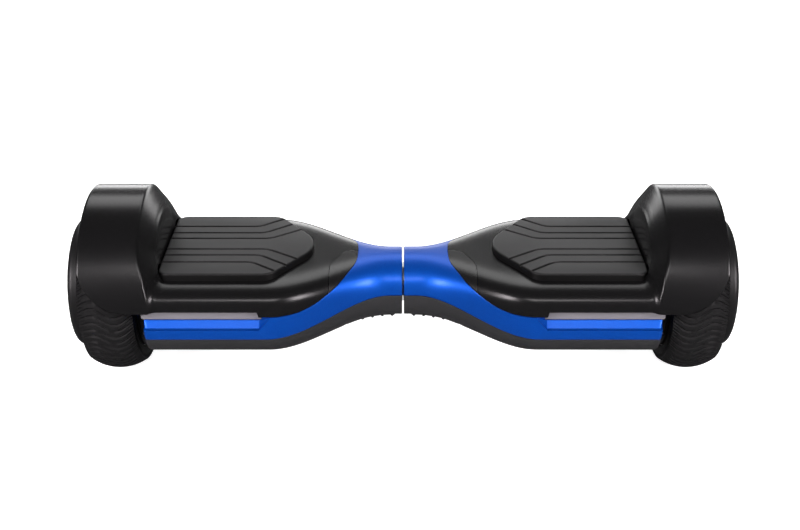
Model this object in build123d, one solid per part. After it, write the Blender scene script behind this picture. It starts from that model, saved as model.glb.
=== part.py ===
"""Self-balancing two-wheel board: two mirrored halves that twist about a central tube.

Millimetres. +X runs along the board, -Y is the front, +Z is up. The origin is on the floor,
midway between the wheels. Each half is modelled on the +X side and mirrored for the left.
"""

import os
from math import copysign, cos, pi, sin, sqrt

from build123d import *

# --- Wheel ---------------------------------------------------------------------------------
TYRE_RADIUS = 84.0  # the axle stands this far above the floor
TYRE_THICKNESS = 21.5  # tread to rim
TYRE_SEAT_WIDTH = 46.0  # across the beads
TYRE_BULGE = 4.0  # each sidewall beyond its bead
TREAD_WIDTH = 50.0
TREAD_DROP = 8.0  # crown to tread edge
WHEEL_X = 275.0  # the tyre's middle plane
CAP_STANDOUT = 13.0  # the cap's outer face beyond the tread edge

# --- Shells --------------------------------------------------------------------------------
WALL = 3.0
SEAM = 0.4  # gap between two shells
NECK_GAP = 2.4  # between the two halves
NECK_HALF_DEPTH, NECK_RISE, NECK_DROP = 36.0, 32.0, 29.0  # from the axle line
NECK_TOP_POWER, NECK_BOTTOM_POWER = 2.3, 2.3
DECK_HALF_DEPTH, DECK_RISE, DECK_DROP = 90.0, 34.5, 50.0
DECK_TOP_POWER, DECK_BOTTOM_POWER = 5.5, 2.5
FLARE_START, FLARE_END = 12.0, 125.0  # where the neck widens into the deck
DECK_TO_TREAD = 12.0
SECTION_POINTS = 40
TOP_SEAM_RISE = 8.0  # black shell's lower edge above the axle line
PARTING_NECK_RISE, PARTING_DECK_DROP = 2.5, 16.0

# --- Wheel arch ----------------------------------------------------------------------------
ARCH_GAP = 8.0  # tyre to arch
ARCH_INSIDE_TREAD_EDGE = 4.0
ARCH_EDGE_RISE = 13.0  # the arch's lower edge above the axle line
ARCH_CORNER = 45.0
ARCH_FOOT_DROP, ARCH_SLOPE = 27.0, 12.0  # the inner wall's foot, below the crown and inboard

# --- Foot pad ------------------------------------------------------------------------------
PAD_TIP_X, PAD_TIP_HALF = 84.0, 14.0
PAD_HALF_DEPTH = 65.5
PAD_TAPER_X = 122.0
PAD_PROUD = 6.0
PAD_SKIN, PAD_SKIRT = 4.0, 5.0
PAD_SIDE_GAP = 0.4
PAD_TRAVEL, PAD_STOP_GAP = 1.5, 0.3
PAD_FLOOR_DEPTH, PAD_FLOOR_THICKNESS = 5.5, 3.5
GROOVE_WIDTH, GROOVE_DEPTH = 2.0, 1.4
GROOVES = ((12.0, 129.0, 100.0, 33.0), (25.0, 135.5, 108.0, 47.0), (40.0, 141.5, 119.0, 58.5))

# --- Lights --------------------------------------------------------------------------------
LIGHT_START_X = 128.0
LIGHT_RECESS = 10.5
LIGHT_HEIGHT = 6.0
LEDGE_DROP = 7.2
LIGHT_NOTCH = 5.0  # how far the black shell's edge rises over a light bar
NOTCH_START_X = 132.0
LENS_OVERHANG = 4.0  # past the deck's end, towards the tyre
LENS_THICKNESS = 2.7
LED_COUNT = 8

# --- Tilt-sensing board --------------------------------------------------------------------
SENSOR_SPACING = 50.0
GYRO_HALF_LENGTH, GYRO_HALF_DEPTH = 32.5, 28.0

# --- Frame, pivot and axle -----------------------------------------------------------------
PLATE_THICKNESS, PLATE_DROP = 6.0, 4.0  # the plate's top lies this far below the axle line
PLATE_HALF_DEPTH, PLATE_NECK_HALF_DEPTH = 52.0, 24.0
BOSS_WALL, BOSS_LENGTH, BOSS_FACE_GAP = 3.0, 55.0, 0.3
TUBE_RADIUS, TUBE_BORE, BUSH_WALL = 14.0, 11.0, 2.0
PIN_RADIUS, PIN_X = 2.5, 30.0
TWIST_LIMIT = 14.0 * pi / 180
RING_THICKNESS, RING_DEPTH, RING_LIP = 2.0, 1.0, 3.0
AXLE_RADIUS, AXLE_FLAT = 8.0, 7.0
CLAMP_LENGTH, CLAMP_HALF_DEPTH, CLAMP_HEIGHT = 32.0, 24.0, 14.0
CLAMP_INBOARD = 40.0  # the clamp's inboard end, from the deck's end
BOLT_RADIUS, BOLT_HEAD_RADIUS, BOLT_HEAD = 3.0, 5.0, 5.0
CABLE_RADIUS, CABLE_OFFSET, CABLE_BEND = 3.0, 3.6, 8.0

# --- Hub motor -----------------------------------------------------------------------------
DRUM_WALL, MAGNET_THICKNESS, AIR_GAP = 5.5, 5.4, 0.8
STATOR_WIDTH, STATOR_TEETH = 23.0, 18
STATOR_BORE, BEARING_RADIUS, BEARING_WIDTH = 20.0, 17.5, 8.3

# --- Fits ----------------------------------------------------------------------------------
FIT = 0.05  # radial, between turned parts
SEAT = 0.2  # between flat parts that rest on each other
SOFT_GAP = 0.3  # under the neck grip

# --- Worked out from the sizes above ---------------------------------------------------------
AXLE_Z = TYRE_RADIUS
RIM_RADIUS = TYRE_RADIUS - TYRE_THICKNESS
TREAD_INNER_X = WHEEL_X - TREAD_WIDTH / 2
TREAD_OUTER_X = WHEEL_X + TREAD_WIDTH / 2
CAP_FACE_X = TREAD_OUTER_X + CAP_STANDOUT
NECK_END_X = NECK_GAP / 2
DECK_END_X = TREAD_INNER_X - DECK_TO_TREAD
DECK_Z = AXLE_Z + DECK_RISE
TOP_SEAM_Z = AXLE_Z + TOP_SEAM_RISE
LIGHT_NOTCH_Z = TOP_SEAM_Z + SEAM / 2 + LIGHT_NOTCH
PARTING_Z = AXLE_Z - PARTING_DECK_DROP
ARCH_RADIUS = TYRE_RADIUS + ARCH_GAP + WALL
ARCH_OUTER_X = TREAD_OUTER_X - ARCH_INSIDE_TREAD_EDGE
PAD_END_X = DECK_END_X - 12.0
PAD_TOP_Z = DECK_Z + PAD_PROUD
PAD_FLOOR_Z = DECK_Z - PAD_FLOOR_DEPTH
PAD_UNDER_Z = PAD_TOP_Z - PAD_SKIN
TRAY_UNDER_Z = PAD_FLOOR_Z - PAD_FLOOR_THICKNESS
PLATE_TOP_Z = AXLE_Z - PLATE_DROP
PLATE_UNDER_Z = PLATE_TOP_Z - PLATE_THICKNESS
BUSH_RADIUS = TUBE_RADIUS + BUSH_WALL
BOSS_RADIUS = BUSH_RADIUS + BOSS_WALL
CLAMP_X = DECK_END_X - CLAMP_INBOARD
AXLE_INNER_X = CLAMP_X - 2.0
GYRO_X = CLAMP_X - 43.0  # the middle of the tilt-sensing board, clear of the clamp
SENSORS_X = (GYRO_X - SENSOR_SPACING / 2, GYRO_X + SENSOR_SPACING / 2)
SCREW_RADIUS, SCREW_HEAD_RADIUS, SCREW_HEAD = 1.75, 4.0, 3.0
WELL_RADIUS, WELL_WALL = 4.5, 2.0
DECK_SCREWS = [(x, y) for x in (FLARE_END + 5, DECK_END_X - 13) for y in (-62.0, 62.0)]
NECK_SCREWS = [(55.0, -36.0), (55.0, 36.0)]
DECK_WELL_Z, NECK_WELL_Z = AXLE_Z - 24.0, AXLE_Z - 18.0  # the wells' floors
DECK_SCREW_LENGTH, NECK_SCREW_LENGTH = 36.0, 30.0
WINDOWS_X = (88.5, 170.0)  # cable windows through the plate
WINDOW = (19.0, 18.0)


# --- Shapes shared by several pieces ---------------------------------------------------------
def block(x0, x1, y0, y1, z0, z1):
    """A box between two corners."""
    return Pos((x0 + x1) / 2, (y0 + y1) / 2, (z0 + z1) / 2) * Box(
        abs(x1 - x0), abs(y1 - y0), abs(z1 - z0)
    )


def post(x, y, z0, z1, radius):
    """An upright cylinder."""
    return Pos(x, y, (z0 + z1) / 2) * Cylinder(radius, z1 - z0)


def turned(*outline):
    """A solid turned about the axle line from (x, radius) points."""
    profile = make_face(Polyline(*[(x, 0, AXLE_Z + r) for x, r in outline], close=True))
    return revolve(profile, Axis((0, 0, AXLE_Z), (1, 0, 0)), 360)


def tube(x0, x1, outer, inner):
    """A straight ring on the axle line."""
    return turned((x0, inner), (x1, inner), (x1, outer), (x0, outer))


def rod(x0, x1, radius):
    """A round bar on the axle line."""
    return turned((x0, 0), (x1, 0), (x1, radius), (x0, radius))


def mirrored(shape):
    """The left half's copy of a right half's piece."""
    return mirror(shape, about=Plane.YZ)


def growth(x):
    """0 in the neck, 1 in the deck, smooth between."""
    share = min(1.0, max(0.0, (x - FLARE_START) / (FLARE_END - FLARE_START)))
    return share * share * (3 - 2 * share)


def section(x, inset):
    """The skin's closed section at x: a superellipse, flatter on top in the deck."""
    share = growth(x)

    def at(neck, deck):
        return neck + (deck - neck) * share

    half_depth = at(NECK_HALF_DEPTH, DECK_HALF_DEPTH) - inset
    upper = at(NECK_RISE, DECK_RISE) - inset, at(NECK_TOP_POWER, DECK_TOP_POWER)
    lower = at(NECK_DROP, DECK_DROP) - inset, at(NECK_BOTTOM_POWER, DECK_BOTTOM_POWER)
    points = []
    for i in range(SECTION_POINTS):
        up, across = cos(2 * pi * i / SECTION_POINTS), sin(2 * pi * i / SECTION_POINTS)
        height, power = upper if up >= 0 else lower
        y = half_depth * copysign(abs(across) ** (2 / power), across)
        z = AXLE_Z + height * copysign(abs(up) ** (2 / power), up)
        points.append(Vector(x, y, z))
    return Wire([Edge.make_spline(points, periodic=True)])


def skin(inset, start=NECK_END_X, end=DECK_END_X):
    """One half's closed outer form, or its inside at a given inset."""
    flare = FLARE_END - FLARE_START
    stations = [start] + [FLARE_START + flare * i / 7 for i in range(8)]
    neck = Solid.make_loft([section(x, inset) for x in stations])
    deck = Solid.extrude(Face(section(FLARE_END, inset)), Vector(end - FLARE_END, 0, 0))
    return neck + deck


def above_curve(points, tangents, level):
    """Everything above a curve that starts in the neck and ends level in the deck."""
    reach = CAP_FACE_X + 20
    shift = [(x, z + level) for x, z in points]
    with BuildSketch(Plane.XZ) as profile:
        with BuildLine():
            edge = Spline(*shift, tangents=tangents)
            start, end = edge @ 0, edge @ 1
            Polyline(end, (reach, end.Y), (reach, 400), (start.X, 400), start)
        make_face()
    return extrude(profile.sketch, amount=200, both=True)


def above_top_seam(level=0.0):
    """The black shell's region: from the neck's crown down to a level edge in the deck."""
    crown = AXLE_Z + NECK_RISE
    points = [
        (36, crown + 8),
        (43, crown + 0.6),
        (51, crown - 3.2),
        (70, crown - 14),
        (96, TOP_SEAM_Z + 0.8),
        (FLARE_END - 1, TOP_SEAM_Z),
    ]
    return above_curve(points, [(1, -1), (1, 0)], level)


def above_parting(level=0.0):
    """Everything above the line where the coloured band meets the bottom shell."""
    high, low = AXLE_Z + PARTING_NECK_RISE, PARTING_Z
    points = [(-5, high), (FLARE_START, high)]
    for share in (0.25, 0.5, 0.75):
        x = FLARE_START + share * (FLARE_END - FLARE_START)
        points.append((x, high + (low - high) * growth(x)))
    points.append((FLARE_END, low))
    return above_curve(points, [(1, 0), (1, 0)], level)


def pad_outline(grow):
    """The foot pad's plan, larger by grow."""
    corners = [
        (PAD_END_X, PAD_HALF_DEPTH),
        (PAD_TAPER_X, PAD_HALF_DEPTH),
        (PAD_TIP_X, PAD_TIP_HALF),
    ]
    ring = corners + [(x, -y) for x, y in reversed(corners)]
    plan = make_face(Polyline(*ring, close=True))
    heel = [v for v in plan.vertices() if v.X > PAD_END_X - 1]
    shoulder = [v for v in plan.vertices() if abs(v.X - PAD_TAPER_X) < 1]
    tip = [v for v in plan.vertices() if v.X < PAD_TIP_X + 1]
    plan = fillet(heel, 10)
    plan = fillet([v for v in plan.vertices() if _near(v, shoulder)], 18)
    plan = fillet([v for v in plan.vertices() if _near(v, tip)], 38)
    return offset(plan, amount=grow) if grow else plan


def _near(vertex, others):
    return any((vertex.center() - o.center()).length < 0.01 for o in others)


def pad_prism(grow, z0, z1):
    """The pad's plan between two heights."""
    return extrude(Pos(0, 0, z0) * pad_outline(grow), amount=z1 - z0)


# --- Shells ----------------------------------------------------------------------------------
def arch_outside():
    """The wheel arch's outer form, with its sloping inner wall."""
    foot = PAD_END_X + 2
    form = turned(
        (foot, 0),
        (foot, ARCH_RADIUS - ARCH_FOOT_DROP),
        (foot + ARCH_SLOPE, ARCH_RADIUS - 5),
        (foot + ARCH_SLOPE + 3, ARCH_RADIUS),
        (ARCH_OUTER_X, ARCH_RADIUS),
        (ARCH_OUTER_X, 0),
    )
    edge = AXLE_Z + ARCH_EDGE_RISE
    side = Plane.XZ * Rectangle(2 * ARCH_OUTER_X, 400, align=(Align.CENTER, Align.MIN))
    side = fillet([v for v in side.vertices() if v.Z < 1 and v.X > 0], ARCH_CORNER)
    return form & extrude(Pos(0, 0, edge) * side, amount=200, both=True)


def wheel_well():
    """The space the wheel turns in."""
    radius, start = ARCH_RADIUS - WALL, DECK_END_X
    return turned((start, 0), (start, radius - 12), (start + 10, radius), (400, radius), (400, 0))


def wall_hollow():
    """The hollow behind the arch's sloping inner wall."""
    start, end = PAD_END_X + 2 + WALL, DECK_END_X - WALL
    low = ARCH_RADIUS - ARCH_FOOT_DROP - WALL
    slope = (ARCH_FOOT_DROP - 5) / ARCH_SLOPE
    return turned((start, 0), (start, low - 5), (end, low - 5 + slope * (end - start)), (end, 0))


def axle_hole():
    return rod(PAD_END_X, DECK_END_X + 20, AXLE_RADIUS + 6)


def boss_hole():
    return rod(0, FLARE_START, BOSS_RADIUS + 0.6)


def indicator_region(grow):
    """Plan of the small front window at the black shell's tip, as a tall prism."""
    ring = [(36, -4), (57, -5), (68, -38), (69, -60), (36, -60)]
    plan = make_face(Polyline(*ring, close=True))
    plan = offset(plan, amount=grow) if grow else plan
    return extrude(Pos(0, 0, AXLE_Z) * plan, amount=60)


def screw_boss(x, y, z0, z1):
    """A boss with a blind hole for a self-tapping screw."""
    hole = SCREW_RADIUS + FIT
    return post(x, y, z0, z1, WELL_RADIUS) - post(x, y, z0, z1 - 5, hole)


def light_notches():
    """Where the black shell's edge rises over the light bars, front and rear."""
    inner = DECK_HALF_DEPTH - LIGHT_RECESS - WALL - SEAM
    return [
        block(
            NOTCH_START_X,
            DECK_END_X + 1,
            side * inner,
            side * (DECK_HALF_DEPTH + 5),
            TOP_SEAM_Z - 2,
            LIGHT_NOTCH_Z,
        )
        for side in (-1, 1)
    ]


def top_shell(outside, inside):
    """Black upper shell: deck, pad tray and wheel arch in one moulding."""
    hollow = inside - pad_prism(WALL, TRAY_UNDER_Z, DECK_Z + 5)
    form = (outside & above_top_seam(SEAM / 2)) + arch_outside()
    shell = form - hollow - wall_hollow() - wheel_well() - axle_hole()
    shell -= pad_prism(PAD_SIDE_GAP, PAD_FLOOR_Z, DECK_Z + 50)
    for x in SENSORS_X:
        shell -= post(x, 0, TRAY_UNDER_Z - 5, DECK_Z, 8)
    for x, y in DECK_SCREWS:
        shell += screw_boss(x, y, DECK_WELL_Z + 10, TRAY_UNDER_Z + 1)
    inner = DECK_HALF_DEPTH - LIGHT_RECESS - WALL
    for side in (-1, 1):
        y0, y1 = side * inner, side * (DECK_HALF_DEPTH - 1.5)
        shell += block(LIGHT_START_X + 1, DECK_END_X - 1, y0, y1, LIGHT_NOTCH_Z, LIGHT_NOTCH_Z + 2.5)
    for notch in light_notches():
        shell -= notch
    return shell - indicator_region(0.15)


def indicator_lens(outside, inside):
    """Smoked window that completes the black shell's front tip."""
    return ((outside - inside) & above_top_seam(SEAM / 2)) & indicator_region(0)


def light_box(side):
    """The coloured band's trough behind one light bar; side is -1 in front, 1 behind."""
    back = DECK_HALF_DEPTH - LIGHT_RECESS
    top = TOP_SEAM_Z - SEAM / 2
    trough = block(
        LIGHT_START_X - 5,
        DECK_END_X,
        side * (back - WALL),
        side * (DECK_HALF_DEPTH + 5),
        top - LIGHT_HEIGHT - LEDGE_DROP - WALL,
        top,
    )
    ledge = top - LIGHT_HEIGHT
    outline = [
        (side * back, top + 5),
        (side * back, ledge),
        (side * (DECK_HALF_DEPTH + 2), ledge - LEDGE_DROP),
        (side * (DECK_HALF_DEPTH + 10), ledge - LEDGE_DROP),
        (side * (DECK_HALF_DEPTH + 10), top + 5),
    ]
    face = make_face(Polyline(*[(LIGHT_START_X, y, z) for y, z in outline], close=True))
    length = DECK_END_X + 5 - LIGHT_START_X
    recess = Solid.extrude(face.faces()[0], Vector(length, 0, 0))
    window = block(
        LIGHT_START_X + 5,
        DECK_END_X - 6,
        side * (back - WALL - 1),
        side * (back + 1),
        top - LIGHT_HEIGHT + 1.2,
        top - 1.2,
    )
    return trough, recess, window


def side_band(outside, inside):
    """Coloured band: the top of the neck and a strip down each side."""
    form = (outside & above_parting(SEAM / 2)) - above_top_seam(-SEAM / 2)
    band = form - inside - boss_hole() - axle_hole()
    for x, y in NECK_SCREWS:
        band += screw_boss(x, y, NECK_WELL_Z + 6, AXLE_Z + 24)
    for side in (-1, 1):
        trough, recess, window = light_box(side)
        band = band + (trough & form) - recess - window
        back = DECK_HALF_DEPTH - LIGHT_RECESS
        y0, y1, top = side * (back - WALL), side * back, TOP_SEAM_Z - SEAM / 2
        band += block(LIGHT_START_X, DECK_END_X, y0, y1, top - 1, LIGHT_NOTCH_Z - SEAM)
    return band


def bottom_shell(outside, inside, left):
    """Dark lower shell with screw wells and the pillars that the frame stands on."""
    shell = (outside - above_parting(-SEAM / 2)) - inside - boss_hole() - axle_hole()
    spots = [(x, y, DECK_WELL_Z) for x, y in DECK_SCREWS]
    spots += [(x, y, NECK_WELL_Z) for x, y in NECK_SCREWS]
    for x, y, floor in spots:
        column = post(x, y, AXLE_Z - DECK_DROP - 5, floor + WALL, WELL_RADIUS + WELL_WALL)
        shell += column & outside
        shell -= post(x, y, AXLE_Z - DECK_DROP - 10, floor, WELL_RADIUS)
        shell -= post(x, y, floor - 1, floor + WALL + 1, SCREW_RADIUS + 0.3)
    for x in (FLARE_END - 14, DECK_END_X - 10):
        for y in (-47, 47):
            shell += post(x, y, AXLE_Z - DECK_DROP - 5, PLATE_UNDER_Z, 4) & outside
    if left:
        shell -= post(PORT_X, PORT_Y, 0, AXLE_Z - 40, PORT_RADIUS + 0.3)
        shell -= post(PORT_X, -PORT_Y, 0, AXLE_Z - 40, BUTTON_RADIUS + 0.3)
    return shell


def neck_grip():
    """Ribbed rubber pad under the neck."""
    start, end, half = 8.0, 44.0, 21.0
    low = AXLE_Z - NECK_DROP - 20
    base = block(start, end, -half, half, low, AXLE_Z - 10)
    ribs = [block(x, x + 2, -half + 2, half - 2, low, AXLE_Z - 10) for x in range(11, 42, 5)]
    core = skin(-SOFT_GAP)
    pad = (skin(-1.2) & base) + (skin(-2.4) & Compound(ribs))
    return pad - core


# --- Foot pad --------------------------------------------------------------------------------
def groove_cut(x0, y0, x1, y1):
    """A straight cut in the pad's top between two plan points."""
    length = sqrt((x1 - x0) ** 2 + (y1 - y0) ** 2)
    along = Vector(x1 - x0, y1 - y0, 0)
    place = Plane(((x0 + x1) / 2, (y0 + y1) / 2, PAD_TOP_Z), x_dir=along, z_dir=(0, 0, 1))
    return place * Box(length + GROOVE_WIDTH / 2, GROOVE_WIDTH, 2 * GROOVE_DEPTH)


def foot_pad():
    """Rubber mat with a skirt, hollow under its top, and six bent grooves."""
    rest = PAD_FLOOR_Z + PAD_TRAVEL + PAD_STOP_GAP
    pad = pad_prism(0, rest, PAD_TOP_Z)
    pad = fillet(pad.faces().sort_by(Axis.Z)[-1].edges(), 1.5)
    pad -= pad_prism(-PAD_SKIRT, rest - 1, PAD_UNDER_Z)
    for depth, bend, tip_x, tip_y in GROOVES:
        for side in (-1, 1):
            pad -= groove_cut(PAD_END_X + 2, side * depth, bend, side * depth)
            pad -= groove_cut(bend, side * depth, tip_x, side * tip_y)
    return pad


def pad_plungers():
    """Two silicone plungers whose flags reach into the optical switches."""
    plungers = []
    for x in SENSORS_X:
        stem = post(x, 0, BOARD_TOP_Z + 10, PAD_UNDER_Z, 6)
        flag = block(x - 1.5, x + 1.5, -4, 4, BOARD_TOP_Z + 4, BOARD_TOP_Z + 10)
        plungers.append((stem + flag).solid())
    return Compound(plungers)


# --- Lights ----------------------------------------------------------------------------------
def light_lenses():
    """Clear bars in the front and rear recesses."""
    back, low = DECK_HALF_DEPTH - LIGHT_RECESS + FIT, TOP_SEAM_Z - LIGHT_HEIGHT
    bars = []
    for side in (-1, 1):
        y0, y1 = side * back, side * (back + LENS_THICKNESS)
        end = DECK_END_X + LENS_OVERHANG
        bars.append(block(LIGHT_START_X + 0.5, end, y0, y1, low, LIGHT_NOTCH_Z - SEAM))
    return Compound(bars)


def light_boards():
    """Strips of white lamps behind the lenses."""
    back, top = DECK_HALF_DEPTH - LIGHT_RECESS - WALL - SEAT, TOP_SEAM_Z - SEAM / 2
    boards = []
    for side in (-1, 1):
        strip = block(
            LIGHT_START_X + 2, DECK_END_X - 5, side * (back - 1.4), side * back, top - 8, top
        )
        pitch = (DECK_END_X - LIGHT_START_X - 20) / (LED_COUNT - 1)
        for i in range(LED_COUNT):
            x = LIGHT_START_X + 9.5 + pitch * i
            strip += block(
                x - 1.7, x + 1.7, side * (back - 0.5), side * (back + 1.4), top - 4.5, top - 1.5
            )
        boards.append(strip.solid())
    return Compound(boards)


# --- Frame and pivot -------------------------------------------------------------------------
def keyed_bar(x0, x1, extra):
    """The axle's flatted end, larger by extra."""
    flats = AXLE_FLAT + extra
    return rod(x0, x1, AXLE_RADIUS + extra) & block(x0, x1, -flats, flats, 0, 2 * AXLE_Z)


def clamp_bolt_spots():
    middle = CLAMP_X + CLAMP_LENGTH / 2
    return [(middle + dx, dy) for dx in (-10, 10) for dy in (-17, 17)]


def frame(left):
    """Cast aluminium half frame: plate, pivot boss, axle saddle and board posts."""
    half, neck = PLATE_HALF_DEPTH, PLATE_NECK_HALF_DEPTH
    end, flare = DECK_END_X - WALL - 1, FLARE_END - 20
    side = [(10, neck), (60, neck), (flare, half), (end, half)]
    ring = side + [(x, -y) for x, y in reversed(side)]
    plan = make_face(Polyline(*ring, close=True))
    body = extrude(Pos(0, 0, PLATE_UNDER_Z) * plan, amount=PLATE_THICKNESS)
    for x in WINDOWS_X:
        size_x, size_y = WINDOW
        body -= Pos(x, 0, PLATE_TOP_Z) * Box(size_x, size_y, 4 * PLATE_THICKNESS)
    body += rod(BOSS_FACE_GAP, BOSS_LENGTH, BOSS_RADIUS)
    for y in (-half + 2, half - 2):
        body += block(flare, end - 10, y - 2, y + 2, PLATE_TOP_Z - 1, PLATE_TOP_Z + 8)
    body += block(
        CLAMP_X, CLAMP_X + CLAMP_LENGTH, -CLAMP_HALF_DEPTH, CLAMP_HALF_DEPTH,
        PLATE_TOP_Z - 1, AXLE_Z - SEAT,
    )
    body -= keyed_bar(CLAMP_X - 5, end + 5, FIT)
    for x, y in clamp_bolt_spots():
        body -= post(x, y, PLATE_UNDER_Z + 2, AXLE_Z + 5, BOLT_RADIUS + FIT)
    for x in (GYRO_X - GYRO_HALF_LENGTH + 5, GYRO_X + GYRO_HALF_LENGTH - 5):
        for y in (-GYRO_HALF_DEPTH + 5, GYRO_HALF_DEPTH - 5):
            body += post(x, y, PLATE_TOP_Z - 1, BOARD_TOP_Z - BOARD, 3)
    bore = (TUBE_RADIUS if left else BUSH_RADIUS) + FIT
    body -= rod(-1, BOSS_LENGTH + 10, bore)
    body -= rod(BOSS_LENGTH, BOSS_LENGTH + RING_THICKNESS + 1, TUBE_RADIUS + RING_LIP + 0.5)
    if left:
        for x in (MAIN_X - 40, MAIN_X + 40):
            for y in (-30, 30):
                body += post(x, y, MAIN_Z + BOARD, PLATE_UNDER_Z + 1, 3)
        body -= post(PIN_X, 0, AXLE_Z, AXLE_Z + 30, PIN_RADIUS + FIT)
    else:
        reach = BOSS_RADIUS * sin(TWIST_LIMIT) + PIN_RADIUS + 0.6
        body -= block(
            PIN_X - PIN_RADIUS - 0.3, PIN_X + PIN_RADIUS + 0.3, -reach, reach,
            AXLE_Z + TUBE_RADIUS * cos(TWIST_LIMIT), AXLE_Z + BOSS_RADIUS + 5,
        )
    return body


def pivot_tube():
    """Steel tube on which the right half turns; it is pinned in the left frame."""
    end = BOSS_LENGTH + 5
    shaft = tube(-BOSS_LENGTH, end, TUBE_RADIUS, TUBE_BORE)
    groove = BOSS_LENGTH + 0.3
    shaft -= tube(groove, groove + RING_THICKNESS + 0.1, TUBE_RADIUS + 1, TUBE_RADIUS - RING_DEPTH)
    for x in (-PIN_X, PIN_X):
        shaft -= post(x, 0, AXLE_Z, AXLE_Z + 30, PIN_RADIUS + FIT)
    return shaft


def dowel_pins():
    """One pin fixes the tube in the left frame, the other limits the right half's twist."""
    low, high = AXLE_Z + TUBE_BORE - 0.5, AXLE_Z + BOSS_RADIUS + 2
    return Compound([post(x, 0, low, high, PIN_RADIUS).solid() for x in (-PIN_X, PIN_X)])


def pivot_bushes():
    """Two plain bushes in the right frame's boss."""
    inner, outer = TUBE_RADIUS + FIT, BUSH_RADIUS
    spans = ((1.0, 20.0), (BOSS_LENGTH - 15, BOSS_LENGTH - 1))
    return Compound([tube(x0, x1, outer, inner).solid() for x0, x1 in spans])


def retaining_ring():
    """Spring ring that keeps the right half on the tube."""
    start = BOSS_LENGTH + 0.35
    ring = tube(start, start + RING_THICKNESS, TUBE_RADIUS + RING_LIP, TUBE_RADIUS - RING_DEPTH + FIT)
    return ring - block(start - 1, start + 5, -4, 4, AXLE_Z, AXLE_Z + 30)


def axle():
    """Steel axle with flats for the clamp and a carrier for the stator."""
    middle, half = STATOR_X, STATOR_WIDTH / 2 - 4
    shaft = rod(AXLE_INNER_X, DRUM_DISC_X - 0.5, AXLE_RADIUS)
    shaft &= keyed_bar(AXLE_INNER_X, CLAMP_X + CLAMP_LENGTH + 2, 0) + rod(
        CLAMP_X + CLAMP_LENGTH + 2, CAP_FACE_X, AXLE_RADIUS
    )
    return shaft + rod(middle - half, middle + half, STATOR_BORE - FIT)


def axle_clamp():
    """Block that holds the axle down on the frame's saddle."""
    body = block(
        CLAMP_X, CLAMP_X + CLAMP_LENGTH, -CLAMP_HALF_DEPTH, CLAMP_HALF_DEPTH,
        AXLE_Z + SEAT, AXLE_Z + CLAMP_HEIGHT,
    )
    body = chamfer(body.edges().filter_by(Axis.X).group_by(Axis.Z)[-1], 4)
    body -= keyed_bar(CLAMP_X - 5, CLAMP_X + CLAMP_LENGTH + 5, FIT)
    for x, y in clamp_bolt_spots():
        body -= post(x, y, AXLE_Z - 5, AXLE_Z + 30, BOLT_RADIUS + 0.2)
    return body


def clamp_bolts():
    """Four socket-head bolts."""
    bolts = []
    top = AXLE_Z + CLAMP_HEIGHT
    for x, y in clamp_bolt_spots():
        bolt = post(x, y, PLATE_UNDER_Z + 3, top + 1, BOLT_RADIUS)
        bolt += post(x, y, top, top + BOLT_HEAD, BOLT_HEAD_RADIUS)
        socket = extrude(Pos(x, y, top + 2) * RegularPolygon(2.5, 6), amount=BOLT_HEAD)
        bolts.append((bolt - socket).solid())
    return Compound(bolts)


# --- Hub motor and tyre ----------------------------------------------------------------------
DRUM_INNER_X, DRUM_DISC_X = WHEEL_X - 23.0, WHEEL_X + 19.0
DRUM_OUTER_X = DRUM_DISC_X + 5.0
DRUM_INNER_RADIUS = RIM_RADIUS - DRUM_WALL
STATOR_RADIUS = DRUM_INNER_RADIUS - FIT - MAGNET_THICKNESS - AIR_GAP
STATOR_X = WHEEL_X - 2.0  # midway between the two bearing seats
COVER_X = DRUM_INNER_X - 4.8
COVER_SCREWS, COVER_SCREW_RADIUS = 6, 1.5


def rotor_drum():
    """Aluminium drum that carries the tyre and, inside, the magnets."""
    boss = BEARING_RADIUS + 4.5
    drum = turned(
        (DRUM_INNER_X, DRUM_INNER_RADIUS),
        (DRUM_DISC_X, DRUM_INNER_RADIUS),
        (DRUM_DISC_X, boss),
        (DRUM_DISC_X - BEARING_WIDTH - 0.5, boss),
        (DRUM_DISC_X - BEARING_WIDTH - 0.5, BEARING_RADIUS + FIT),
        (DRUM_DISC_X, BEARING_RADIUS + FIT),
        (DRUM_DISC_X, 0),
        (DRUM_OUTER_X, 0),
        (DRUM_OUTER_X, RIM_RADIUS - FIT),
        (DRUM_INNER_X, RIM_RADIUS - FIT),
    )
    for screw in cover_screw_shanks(FIT):
        drum -= screw
    return drum


def cover_screw_shanks(extra):
    """The cover screws' shanks, on the drum wall's middle radius."""
    radius = RIM_RADIUS - DRUM_WALL / 2
    shanks = []
    for i in range(COVER_SCREWS):
        angle = 2 * pi * (i + 0.5) / COVER_SCREWS
        y, z = radius * cos(angle), AXLE_Z + radius * sin(angle)
        bar = Cylinder(COVER_SCREW_RADIUS + extra, 14)
        shanks.append(Plane((COVER_X + 5, y, z), z_dir=(1, 0, 0)) * bar)
    return shanks


def cover_screws():
    """Screws that close the motor."""
    screws = []
    for shank in cover_screw_shanks(0):
        centre = shank.center()
        place = Plane((COVER_X - 1.3, centre.Y, centre.Z), z_dir=(1, 0, 0))
        head = place * Cylinder(2.8, 2.4)
        keep = block(COVER_X - 1, WHEEL_X, -200, 200, 0, 2 * AXLE_Z)
        screws.append(((shank & keep) + head).solid())
    return Compound(screws)


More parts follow.
